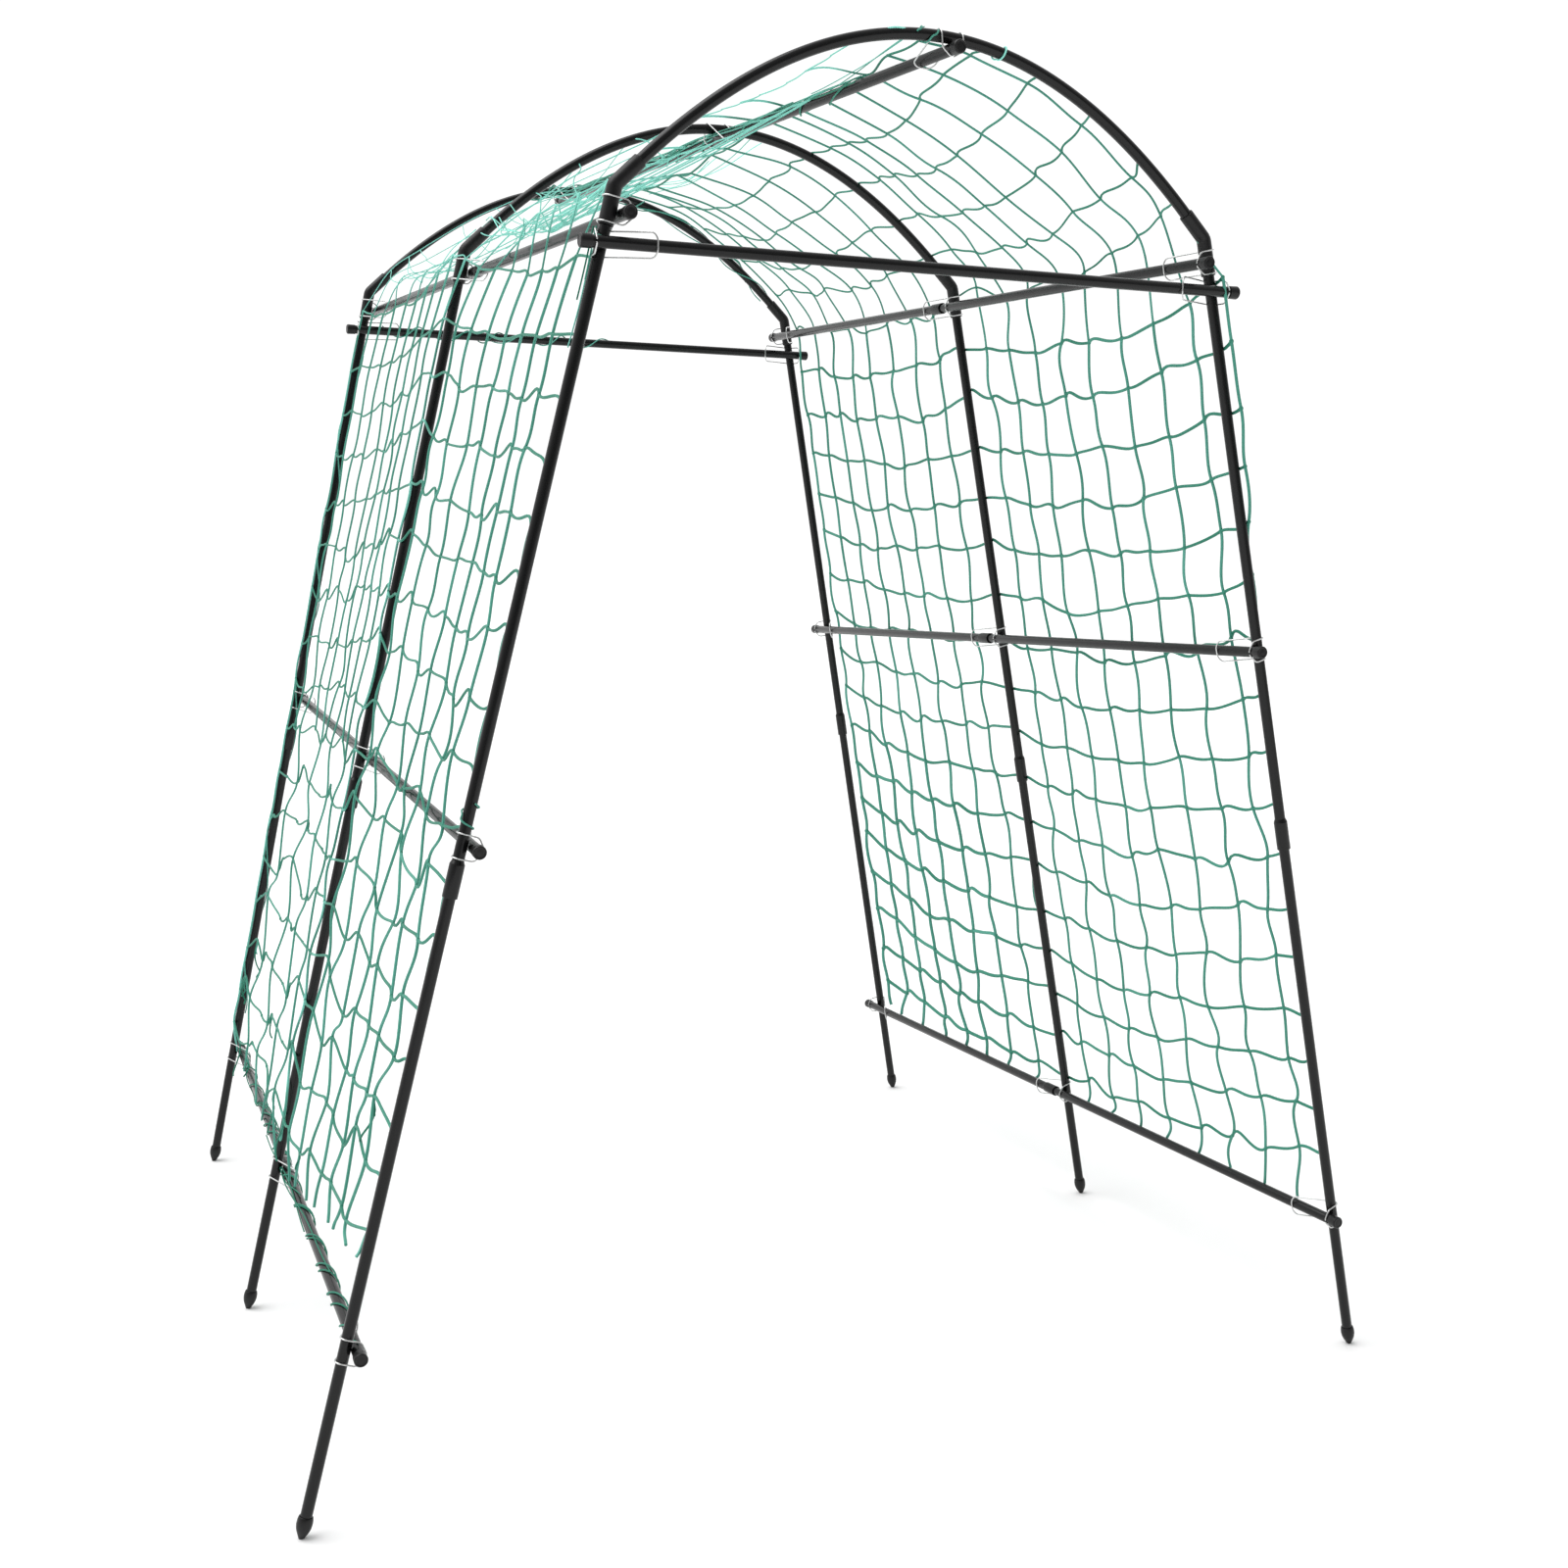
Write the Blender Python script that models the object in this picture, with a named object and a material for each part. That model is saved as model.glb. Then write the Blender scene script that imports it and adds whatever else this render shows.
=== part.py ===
"""Walk-through garden trellis: three splayed tube hoops, tied rails and a climbing net.

X runs across the walkway and Y runs along it, from the front hoop to the rear one.
The part stands on six blunt foot tips at z = 0, and its origin lies between them.
All sizes are in metres and all angles in radians.
"""

import math

import bmesh
import bpy
from mathutils import Matrix, Vector

# Tube stock and fits
TUBE_RADIUS = 0.008
TUBE_WALL = 0.0008
PUSH_FIT = 0.00035
TOUCH_GAP = 0.0003
END_GAP = 0.0005
ROUND_SIDES = 12

# Hoops
HOOP_SPACING = 0.75
EAVE_HALF_WIDTH = 0.44
BEND_HEIGHT = 1.72
FRONT_FOOT_HALF_WIDTH = 0.842
REAR_FOOT_HALF_WIDTH = 0.762
ARCH_END_ANGLE = math.radians(43.8)
ARCH_STEPS = 18

# Push-fit coupling between lower and upper leg
COUPLING_HEIGHT = 0.85
SOCKET_WALL = 0.00185
BELL_LENGTH = 0.044
BELL_TAPER = 0.005
BELL_GRIP = 0.038

# Moulded foot tip
TIP_LIP = 0.0028
TIP_LENGTH = 0.030
TIP_POINT_RADIUS = 0.0015
TIP_OVERCUT = 0.004
BORE_FLOOR = 0.045

# Moulded elbow
ELBOW_LEG_ARM = 0.052
ELBOW_ARCH_ARM = 0.045
ELBOW_STOP = 0.014
ELBOW_BEND_RADIUS = 0.013
ELBOW_BEND_STEPS = 3
MOUTH_CHAMFER = 0.0008

# Rails and crossbars
TIE_OVERHANG = 0.034
CAP_LIP = 0.0013
CAP_LENGTH = 0.016
CAP_EDGE = 0.0016
EAVE_RAIL_DROP = 0.032
LEFT_MID_RISE_FRONT = 0.045
LEFT_MID_RISE_REAR = 0.077
RIGHT_MID_RISE_FRONT = 0.285
RIGHT_MID_RISE_REAR = 0.215
LEFT_LOW_RAIL_FRONT = 0.247
LEFT_LOW_RAIL_REAR = 0.224
RIGHT_LOW_RAIL_FRONT = 0.228
RIGHT_LOW_RAIL_REAR = 0.200
RIDGE_SHIFT_FRONT = 0.020
RIDGE_SHIFT_REAR = -0.050
CROSSBAR_CLEARANCE = 0.0064

# Push-fit joint halfway along each rail
JOINT_LIP = 0.0016
JOINT_LENGTH = 0.032
JOINT_TAPER = 0.004
NECK_STEP = 0.0008
NECK_SPAN = 0.011

# Spring-wire clips
WIRE_RADIUS = 0.0011
WIRE_SIDES = 4
CLIP_STANDOFF = 0.008
CLIP_REACH = 0.066
CLIP_HOOK_GAP = 0.0041
CLIP_KINK = 0.004
CLIP_HOOK_ANGLE = math.radians(75)
CLIP_WRAP_STEPS = 3

# Climbing net
STRAND_HALF = 0.0012
NET_COLUMNS = 9
NET_SIDE_ROWS = 11
NET_ROOF_ROWS = 4
NET_OVERLAP = 0.030
LEFT_SAG = 0.030
RIGHT_SAG = 0.016
ROOF_SAG = 0.014

HOOPS = ("front", "middle", "rear")
SIDES = {"left": -1, "right": 1}

# Sizes that follow from the ones above
SOCKET_RADIUS = TUBE_RADIUS + PUSH_FIT
SLEEVE_RADIUS = SOCKET_RADIUS + SOCKET_WALL
BORE_RADIUS = TUBE_RADIUS - TUBE_WALL
TIP_RADIUS = TUBE_RADIUS + TIP_LIP
CAP_RADIUS = TUBE_RADIUS + CAP_LIP
WIRE_STANDOFF = WIRE_RADIUS + PUSH_FIT
CLIP_SPREAD = TUBE_RADIUS + CLIP_STANDOFF
WRAP_SLACK = 1 / math.cos(math.radians(20))
WIRE_CORNER = WIRE_RADIUS * math.sqrt(2)
NET_LIFT = (TUBE_RADIUS + WIRE_STANDOFF) * WRAP_SLACK + WIRE_CORNER + STRAND_HALF
NET_EAVE_LIFT = (SLEEVE_RADIUS + WIRE_STANDOFF) * WRAP_SLACK + WIRE_CORNER + STRAND_HALF


def hoop_y(hoop: int) -> float:
    """Y of a hoop's plane: 0 is the front hoop, 1 the middle one and 2 the rear one."""
    return (hoop - 1) * HOOP_SPACING


def foot_half_width(y: float) -> float:
    """Half the distance between a pair of feet, which narrows evenly from front to rear."""
    share = 0.5 + y / (2 * HOOP_SPACING)
    return FRONT_FOOT_HALF_WIDTH + share * (REAR_FOOT_HALF_WIDTH - FRONT_FOOT_HALF_WIDTH)


def splay(y: float) -> float:
    """Angle between a leg and the vertical."""
    return math.atan2(foot_half_width(y) - EAVE_HALF_WIDTH, BEND_HEIGHT)


def leg_point(side: int, y: float, z: float) -> Vector:
    """Point at height z on a leg's axis."""
    reach = foot_half_width(y) - EAVE_HALF_WIDTH
    return Vector((side * (EAVE_HALF_WIDTH + reach * (1 - z / BEND_HEIGHT)), y, z))


def leg_up(side: int, y: float) -> Vector:
    """Unit vector up a leg's axis."""
    angle = splay(y)
    return Vector((-side * math.sin(angle), 0, math.cos(angle)))


def arch_join() -> tuple[float, float]:
    """X and Z where the arch leaves its straight end, which the elbow's sleeve holds."""
    run = ELBOW_ARCH_ARM + END_GAP
    x = EAVE_HALF_WIDTH - run * math.cos(ARCH_END_ANGLE)
    return x, BEND_HEIGHT + run * math.sin(ARCH_END_ANGLE)


def arch_height(x: float) -> float:
    """Height of the arch's axis: a parabola that meets its straight ends smoothly."""
    join_x, join_z = arch_join()
    slope = math.tan(ARCH_END_ANGLE)
    if abs(x) >= join_x:
        return join_z - slope * (abs(x) - join_x)
    crown = join_z + slope * join_x / 2
    return crown - slope * x * x / (2 * join_x)


def arch_slope(x: float) -> float:
    """Slope dz/dx of the arch's axis."""
    join_x, _ = arch_join()
    steepness = min(abs(x) / join_x, 1) * math.tan(ARCH_END_ANGLE)
    return -math.copysign(steepness, x)


def arch_outward(x: float) -> Vector:
    """Unit vector square to the arch, away from the walkway."""
    return Vector((-arch_slope(x), 0, 1)).normalized()


def arch_path() -> list[Vector]:
    """Points of the bent tube's axis, at equal changes of its direction."""
    join_x, _ = arch_join()
    end_x = EAVE_HALF_WIDTH - (ELBOW_STOP + END_GAP) * math.cos(ARCH_END_ANGLE)
    angles = [(2 * i / ARCH_STEPS - 1) * ARCH_END_ANGLE for i in range(ARCH_STEPS + 1)]
    middle = [join_x * math.tan(a) / math.tan(ARCH_END_ANGLE) for a in angles]
    return [Vector((x, 0, arch_height(x))) for x in [-end_x, *middle, end_x]]


def material(name: str, colour: tuple, roughness: float, metallic: float) -> bpy.types.Material:
    """A plain Principled BSDF finish."""
    made = bpy.data.materials.new(name)
    made.use_nodes = True
    shader = made.node_tree.nodes["Principled BSDF"]
    shader.inputs["Base Color"].default_value = (*colour, 1)
    shader.inputs["Roughness"].default_value = roughness
    shader.inputs["Metallic"].default_value = metallic
    return made


def group(name: str, place: tuple) -> bpy.types.Object:
    """An empty that carries one sub-assembly."""
    empty = bpy.data.objects.new(name, None)
    empty.location = place
    bpy.context.scene.collection.objects.link(empty)
    return empty


def add_object(name: str, mesh: bpy.types.Mesh, parent: bpy.types.Object, place: Matrix) -> None:
    """Link an object to the scene at a place given in world space."""
    made = bpy.data.objects.new(name, mesh)
    bpy.context.scene.collection.objects.link(made)
    made.parent = parent
    made.matrix_local = Matrix.Translation(-parent.location) @ place


def finish(name: str, bm: bmesh.types.BMesh, look: bpy.types.Material) -> bpy.types.Mesh:
    """Turn a closed bmesh into a smooth mesh with its faces pointing out."""
    bmesh.ops.recalc_face_normals(bm, faces=bm.faces[:])
    mesh = bpy.data.meshes.new(name)
    bm.to_mesh(mesh)
    bm.free()
    mesh.materials.append(look)
    mesh.shade_smooth()
    mesh.set_sharp_from_angle(angle=math.radians(40))
    return mesh


def frame_at(origin: Vector, z_axis: Vector, x_hint: Vector) -> Matrix:
    """Place with a given Z axis, and its X axis as near to x_hint as that allows."""
    z = z_axis.normalized()
    x = (x_hint - z * x_hint.dot(z)).normalized()
    y = z.cross(x)
    turn = Matrix((x, y, z)).transposed().to_4x4()
    return Matrix.Translation(origin) @ turn


def revolve(profile: list[tuple[float, float]], closed: bool) -> bmesh.types.BMesh:
    """Spin (radius, z) points about Z. A closed profile makes an open-ended tube."""
    bm = bmesh.new()
    corners = [bm.verts.new((radius, 0, z)) for radius, z in profile]
    ends = corners[1:] + (corners[:1] if closed else [])
    edges = [bm.edges.new(pair) for pair in zip(corners, ends)]
    bmesh.ops.spin(
        bm,
        geom=corners + edges,
        cent=(0, 0, 0),
        axis=(0, 0, 1),
        angle=2 * math.pi,
        steps=ROUND_SIDES,
        use_merge=True,
    )
    bmesh.ops.remove_doubles(bm, verts=bm.verts[:], dist=1e-6)
    return bm


def slide_ring(ring: list[Vector], along: Vector, centre: Vector, square_to: Vector) -> list[Vector]:
    """Push a ring of points along a direction until it lies in a plane."""
    rate = along.dot(square_to)
    return [p + along * ((centre - p).dot(square_to) / rate) for p in ring]


def mitred_rings(path: list[Vector], radius: float, sides: int, across: Vector) -> list:
    """Rings of a tube swept along a path, mitred at each corner so that it keeps its section."""
    runs = [(b - a).normalized() for a, b in zip(path, path[1:])]
    first = runs[0]
    u = (across - first * across.dot(first)).normalized()
    v = first.cross(u)
    turns = [2 * math.pi * (i + 0.5) / sides for i in range(sides)]
    ring = [path[0] + radius * (math.cos(t) * u + math.sin(t) * v) for t in turns]
    rings = [ring]
    for centre, here, after in zip(path[1:], runs, runs[1:] + runs[-1:]):
        ring = slide_ring(ring, here, centre, (here + after).normalized())
        rings.append(ring)
    return rings


def skin(rings: list, closed: bool) -> bmesh.types.BMesh:
    """Join rings of points in order, and close the ends, or join the last to the first."""
    bm = bmesh.new()
    loops = [[bm.verts.new(p) for p in ring] for ring in rings]
    pairs = list(zip(loops, loops[1:])) + ([(loops[-1], loops[0])] if closed else [])
    for low, high in pairs:
        for i, vert in enumerate(low):
            after = (i + 1) % len(low)
            bm.faces.new((vert, low[after], high[after], high[i]))
    if not closed:
        bm.faces.new(list(reversed(loops[0])))
        bm.faces.new(loops[-1])
    return bm


def lower_leg_mesh(name: str, y: float, look: bpy.types.Material) -> bpy.types.Mesh:
    """Lower stake with its moulded point, cut level with the ground, along +Z from the foot."""
    angle = splay(y)
    top = (COUPLING_HEIGHT / math.cos(angle)) - BELL_LENGTH / 2 + BELL_GRIP
    profile = [
        (0, -TIP_OVERCUT),
        (TIP_POINT_RADIUS, -TIP_OVERCUT),
        (0.52 * TIP_RADIUS, 0.13 * TIP_LENGTH),
        (0.88 * TIP_RADIUS, 0.40 * TIP_LENGTH),
        (TIP_RADIUS, 0.64 * TIP_LENGTH),
        (0.97 * TIP_RADIUS, 0.86 * TIP_LENGTH),
        (0.5 * (TIP_RADIUS + TUBE_RADIUS), TIP_LENGTH),
        (TUBE_RADIUS, TIP_LENGTH),
        (TUBE_RADIUS, top),
        (BORE_RADIUS, top),
        (BORE_RADIUS, BORE_FLOOR),
        (0, BORE_FLOOR),
    ]
    bm = revolve(profile, closed=False)
    cut = bmesh.ops.bisect_plane(
        bm,
        geom=bm.verts[:] + bm.edges[:] + bm.faces[:],
        plane_co=(0, 0, 0),
        plane_no=(-math.sin(angle), 0, -math.cos(angle)),
        clear_outer=True,
    )
    rim = [piece for piece in cut["geom_cut"] if isinstance(piece, bmesh.types.BMEdge)]
    bmesh.ops.edgeloop_fill(bm, edges=rim)
    return finish(name, bm, look)


def upper_leg_mesh(name: str, y: float, look: bpy.types.Material) -> bpy.types.Mesh:
    """Upper stake with its belled socket, along +Z from the socket's mouth."""
    top = (BEND_HEIGHT - COUPLING_HEIGHT) / math.cos(splay(y)) + BELL_LENGTH / 2
    top -= ELBOW_STOP + END_GAP
    shoulder = BELL_GRIP + END_GAP
    profile = [
        (SOCKET_RADIUS, 0),
        (SLEEVE_RADIUS - MOUTH_CHAMFER, 0),
        (SLEEVE_RADIUS, MOUTH_CHAMFER),
        (SLEEVE_RADIUS, BELL_LENGTH),
        (TUBE_RADIUS, BELL_LENGTH + BELL_TAPER),
        (TUBE_RADIUS, top),
        (BORE_RADIUS, top),
        (BORE_RADIUS, shoulder + TUBE_WALL),
        (SOCKET_RADIUS, shoulder),
    ]
    return finish(name, revolve(profile, closed=True), look)


def elbow_mesh(name: str, y: float, look: bpy.types.Material) -> bpy.types.Mesh:
    """Moulded elbow with two blind sockets. Its bend point is the origin, on the +X side."""
    down = -leg_up(1, y)
    over = Vector((-math.cos(ARCH_END_ANGLE), 0, math.sin(ARCH_END_ANGLE)))
    turn = math.pi - down.angle(over)
    setback = ELBOW_BEND_RADIUS * math.tan(turn / 2)
    inward = (down + over).normalized()
    pivot = inward * (ELBOW_BEND_RADIUS / math.cos(turn / 2))
    start = -inward * ELBOW_BEND_RADIUS
    step = turn / ELBOW_BEND_STEPS
    reach = 1 / math.cos(step / 2)
    corners = []
    for i in range(ELBOW_BEND_STEPS):
        swing = Matrix.Rotation((i + 0.5) * step - turn / 2, 3, (0, -1, 0))
        corners.append(pivot + swing @ (start * reach))
    assert setback < ELBOW_STOP
    mouth_low = down * ELBOW_LEG_ARM
    mouth_high = over * ELBOW_ARCH_ARM
    path = [mouth_low, down * (ELBOW_LEG_ARM - MOUTH_CHAMFER), *corners]
    path += [over * (ELBOW_ARCH_ARM - MOUTH_CHAMFER), mouth_high]
    outer = mitred_rings(path, SLEEVE_RADIUS, ROUND_SIDES, Vector((0, 1, 0)))
    trim = (SLEEVE_RADIUS - MOUTH_CHAMFER) / SLEEVE_RADIUS
    outer[0] = [mouth_low + (p - mouth_low) * trim for p in outer[0]]
    outer[-1] = [mouth_high + (p - mouth_high) * trim for p in outer[-1]]
    across = Vector((0, 1, 0))
    low = mitred_rings([down * ELBOW_STOP, mouth_low], SOCKET_RADIUS, ROUND_SIDES, across)
    high = mitred_rings([mouth_high, over * ELBOW_STOP], SOCKET_RADIUS, ROUND_SIDES, across)
    low = [mirror_ring(ring, down) for ring in low]
    high = [mirror_ring(ring, over) for ring in high]
    return finish(name, skin(low + outer + high, closed=False), look)


def mirror_ring(ring: list[Vector], along: Vector) -> list[Vector]:
    """The same ring with its points in the opposite order round the arm."""
    centre = sum(ring, Vector()) / len(ring)
    flip = Matrix.Rotation(math.pi, 3, (0, 1, 0))
    turned = [centre + flip @ (p - centre) for p in ring]
    spread = [p - along * (p - centre).dot(along) for p in turned]
    return spread


def arch_mesh(name: str, look: bpy.types.Material) -> bpy.types.Mesh:
    """Bent top tube, open at both ends, with its crown over the origin."""
    path = arch_path()
    across = Vector((0, 1, 0))
    outer = mitred_rings(path, TUBE_RADIUS, ROUND_SIDES, across)
    inner = mitred_rings(path, BORE_RADIUS, ROUND_SIDES, across)
    return finish(name, skin(outer + inner[::-1], closed=True), look)


def cap_profile(end: float, inward: int) -> list[tuple[float, float]]:
    """Closed end cap of a tie, from the axis out to the tube. inward is +1 at the low end."""
    return [
        (0, end),
        (CAP_RADIUS - CAP_EDGE, end),
        (CAP_RADIUS, end + inward * CAP_EDGE),
        (CAP_RADIUS, end + inward * CAP_LENGTH),
        (TUBE_RADIUS, end + inward * CAP_LENGTH),
    ]


def rail_mesh(name: str, length: float, look: bpy.types.Material) -> bpy.types.Mesh:
    """Capped rail along Z, with the bell and neck of its push-fit joint at the origin."""
    bell_radius = TUBE_RADIUS + JOINT_LIP
    neck_radius = TUBE_RADIUS - NECK_STEP
    joint = [
        (TUBE_RADIUS, -NECK_SPAN),
        (neck_radius, -NECK_SPAN + NECK_STEP),
        (neck_radius, NECK_SPAN),
        (bell_radius, NECK_SPAN),
        (bell_radius, NECK_SPAN + JOINT_LENGTH),
        (TUBE_RADIUS, NECK_SPAN + JOINT_LENGTH + JOINT_TAPER),
    ]
    low = cap_profile(-length / 2, 1)
    high = cap_profile(length / 2, -1)
    return finish(name, revolve(low + joint + high[::-1], closed=False), look)


def crossbar_mesh(name: str, length: float, look: bpy.types.Material) -> bpy.types.Mesh:
    """Plain capped tie along Z with its middle at the origin."""
    low = cap_profile(-length / 2, 1)
    high = cap_profile(length / 2, -1)
    return finish(name, revolve(low + high[::-1], closed=False), look)


def leg_seat(side: int, y: float, z: float, post_radius: float) -> tuple[Vector, Vector]:
    """Where a rail rests on the inner side of a leg, and the unit vector from rail to leg."""
    out = Vector((side * math.cos(splay(y)), 0, math.sin(splay(y))))
    return leg_point(side, y, z) - out * (TUBE_RADIUS + post_radius + TOUCH_GAP), out


def ridge_seat(x: float, y: float) -> tuple[Vector, Vector]:
    """Where the ridge rail rests under an arch, and the unit vector from rail to arch."""
    path = arch_path()
    start, stop = next((a, b) for a, b in zip(path, path[1:]) if a.x <= x <= b.x)
    run = stop - start
    axis = start + run * ((x - start.x) / run.x) + Vector((0, y, 0))
    out = Vector((-run.z, 0, run.x)).normalized()
    return axis - out * (2 * TUBE_RADIUS + TOUCH_GAP), out


def leg_rail_seats(side: int, front: float, rear: float, post_radius: float) -> list:
    """Seats of a side rail on its three legs, at heights that change evenly."""
    heights = (front, (front + rear) / 2, rear)
    return [leg_seat(side, hoop_y(h), z, post_radius) for h, z in enumerate(heights)]


def rail_seats() -> dict[str, tuple[int, float, list]]:
    """Each rail's side (0 for the ridge), the radius it is tied to, and its three seats."""
    eave = BEND_HEIGHT - EAVE_RAIL_DROP
    mid = COUPLING_HEIGHT
    levels = {
        "left_eave_rail": (-1, eave, eave, SLEEVE_RADIUS),
        "right_eave_rail": (1, eave, eave, SLEEVE_RADIUS),
        "left_mid_rail": (-1, mid + LEFT_MID_RISE_FRONT, mid + LEFT_MID_RISE_REAR, TUBE_RADIUS),
        "right_mid_rail": (1, mid + RIGHT_MID_RISE_FRONT, mid + RIGHT_MID_RISE_REAR, TUBE_RADIUS),
        "left_low_rail": (-1, LEFT_LOW_RAIL_FRONT, LEFT_LOW_RAIL_REAR, TUBE_RADIUS),
        "right_low_rail": (1, RIGHT_LOW_RAIL_FRONT, RIGHT_LOW_RAIL_REAR, TUBE_RADIUS),
    }
    found = {
        name: (side, post, leg_rail_seats(side, front, rear, post))
        for name, (side, front, rear, post) in levels.items()
    }
    shifts = (RIDGE_SHIFT_FRONT, (RIDGE_SHIFT_FRONT + RIDGE_SHIFT_REAR) / 2, RIDGE_SHIFT_REAR)
    ridge = [ridge_seat(x, hoop_y(h)) for h, x in enumerate(shifts)]
    found["ridge_rail"] = (0, TUBE_RADIUS, ridge)
    return found


def rail_axis(seats: list) -> tuple[Vector, Vector]:
    """Middle and direction of the straight rail that clears all three of its seats."""
    (front, _), (middle, out), (rear, _) = seats
    chord = (front + rear) / 2
    reach = max(0.0, (chord - middle).dot(out))
    return chord - out * reach, (rear - front).normalized()


def clip_half(post_radius: float, axis_gap: float, lean: float, sign: int) -> list[Vector]:
    """One arm of a clip, from its closed end to its hook, in (along bar, across bar, to post)."""
    front = -(TUBE_RADIUS + WIRE_STANDOFF)
    spread = sign * CLIP_SPREAD
    grip = post_radius * math.hypot(1, lean) + WIRE_STANDOFF + WIRE_RADIUS * abs(lean)
    middle = lean * spread
    seat = Vector((CLIP_REACH, sign * TUBE_RADIUS, front))
    corner = Vector((CLIP_REACH - CLIP_KINK, spread, front + CLIP_KINK))
    hook = Vector((-(post_radius + CLIP_HOOK_GAP + WIRE_STANDOFF), spread, 0))

    def angle_and_reach(point: Vector) -> tuple[float, float]:
        u, n = point.x - middle, point.z - axis_gap
        return math.atan2(n, u), math.acos(grip / math.hypot(u, n))

    toward, opening = angle_and_reach(corner)
    begin = toward + opening
    away, closing = angle_and_reach(hook)
    end = away + 2 * math.pi - closing
    step = (end - begin) / CLIP_WRAP_STEPS
    far = grip / math.cos(step / 2)
    wraps = []
    for i in range(CLIP_WRAP_STEPS):
        turn = begin + (i + 0.5) * step
        wraps.append(Vector((middle + far * math.cos(turn), spread, axis_gap + far * math.sin(turn))))
    start = math.acos(-front / CLIP_SPREAD)
    bend = (start + CLIP_HOOK_ANGLE) / 2
    over = -front / math.cos((CLIP_HOOK_ANGLE - start) / 2)
    hook_bend = Vector((hook.x, sign * over * math.cos(bend), -over * math.sin(bend)))
    tip_radius = -front
    tip_across = sign * tip_radius * math.cos(CLIP_HOOK_ANGLE)
    tip = Vector((hook.x, tip_across, -tip_radius * math.sin(CLIP_HOOK_ANGLE)))
    return [seat, corner, *wraps, hook, hook_bend, tip]


def clip_mesh(name: str, post: tuple, frame: Matrix, look: bpy.types.Material) -> bpy.types.Mesh:
    """Spring-wire clip that ties a bar to a post. post is (radius, direction, axis point)."""
    post_radius, direction, point = post
    local = frame.inverted().to_3x3() @ direction
    offset = frame.inverted() @ point
    lean = local.x / local.y
    axis_gap = offset.z
    upper = clip_half(post_radius, axis_gap, lean, 1)
    lower = clip_half(post_radius, axis_gap, lean, -1)
    path = upper[::-1] + lower
    rings = mitred_rings(path, WIRE_CORNER, WIRE_SIDES, Vector((1, 0, 0)))
    return finish(name, skin(rings, closed=False), look)


def clip_frame(bar_point: Vector, along: Vector, post_point: Vector, post_up: Vector) -> Matrix:
    """Frame of a clip: X along the bar towards the closed end, Z from the bar to the post."""
    toward = post_up.cross(along).normalized()
    if toward.dot(post_point - bar_point) < 0:
        toward = -toward
    near = bar_point + along * (post_point - bar_point).dot(along)
    return frame_at(near, toward, along)


def wall_outward(side: int, y: float) -> Vector:
    """Unit vector square to a side wall, away from the walkway."""
    return Vector((side * math.cos(splay(y)), 0, math.sin(splay(y))))


def column_y(j: int) -> float:
    """Y of a column of the net. Columns stand between the hoops, or just past the end ones."""
    return (2 * j / NET_COLUMNS - 1) * (HOOP_SPACING + NET_OVERLAP)


def ripple(i: int, j: int, phase: float) -> float:
    """Smooth uneven pull of a knot, between -1 and 1, which repeats nowhere on the net."""
    return math.sin(1.9 * i + 2.3 * j + phase) * math.cos(0.8 * i - 1.3 * j + 2 * phase)


def side_knots(side: int, sag: float, low_front: float, low_rear: float) -> list:
    """Knots of a side wall, row by row from its lower edge to the eave."""
    rows = []
    over = Vector((side * math.sin(ARCH_END_ANGLE), 0, math.cos(ARCH_END_ANGLE)))
    for i in range(NET_SIDE_ROWS + 1):
        row = []
        for j in range(NET_COLUMNS + 1):
            y = column_y(j)
            low = low_front + (low_rear - low_front) * j / NET_COLUMNS
            z = low + (BEND_HEIGHT - low) * i / NET_SIDE_ROWS
            up, out = leg_up(side, y), wall_outward(side, y)
            lift = NET_EAVE_LIFT if i >= NET_SIDE_ROWS - 1 else NET_LIFT
            if i == NET_SIDE_ROWS:
                out = (out + over) / (1 + out.dot(over))
            pull = 0 if j in (0, NET_COLUMNS) else sag * ripple(i, j, 0.7 + side)
            drop = 0 if i in (0, NET_SIDE_ROWS) else sag * ripple(j, i, 2.1 - side)
            knot = leg_point(side, y, z) + out * lift + Vector((0, pull, 0)) + up * drop
            row.append((knot, up, out.normalized()))
        rows.append(row)
    return rows


def roof_knots(side: int, first_step: float, last_step: float) -> list:
    """Knots of one half of the roof, row by row from the eave to the crown."""
    rows = []
    for i in range(NET_ROOF_ROWS + 1):
        row = []
        x = side * EAVE_HALF_WIDTH * (1 - i / NET_ROOF_ROWS)
        normal = arch_outward(x)
        up = Vector((-side * normal.z, 0, side * normal.x))
        for j in range(NET_COLUMNS + 1):
            y = column_y(j)
            out, lift = normal, NET_LIFT
            if i == 0:
                wall = wall_outward(side, y)
                out, lift = (out + wall) / (1 + out.dot(wall)), NET_EAVE_LIFT
            step = {0: first_step, NET_ROOF_ROWS: -last_step}.get(i, 0)
            inside = i not in (0, NET_ROOF_ROWS)
            pull = ROOF_SAG * ripple(i, j, 1.6 + side) if inside and 0 < j < NET_COLUMNS else 0
            drop = ROOF_SAG * ripple(j, i, 0.4 - side) if inside else step
            knot = Vector((x, y + pull, arch_height(x))) + out * lift + up * drop
            row.append((knot, up, normal))
        rows.append(row)
    return rows


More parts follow.
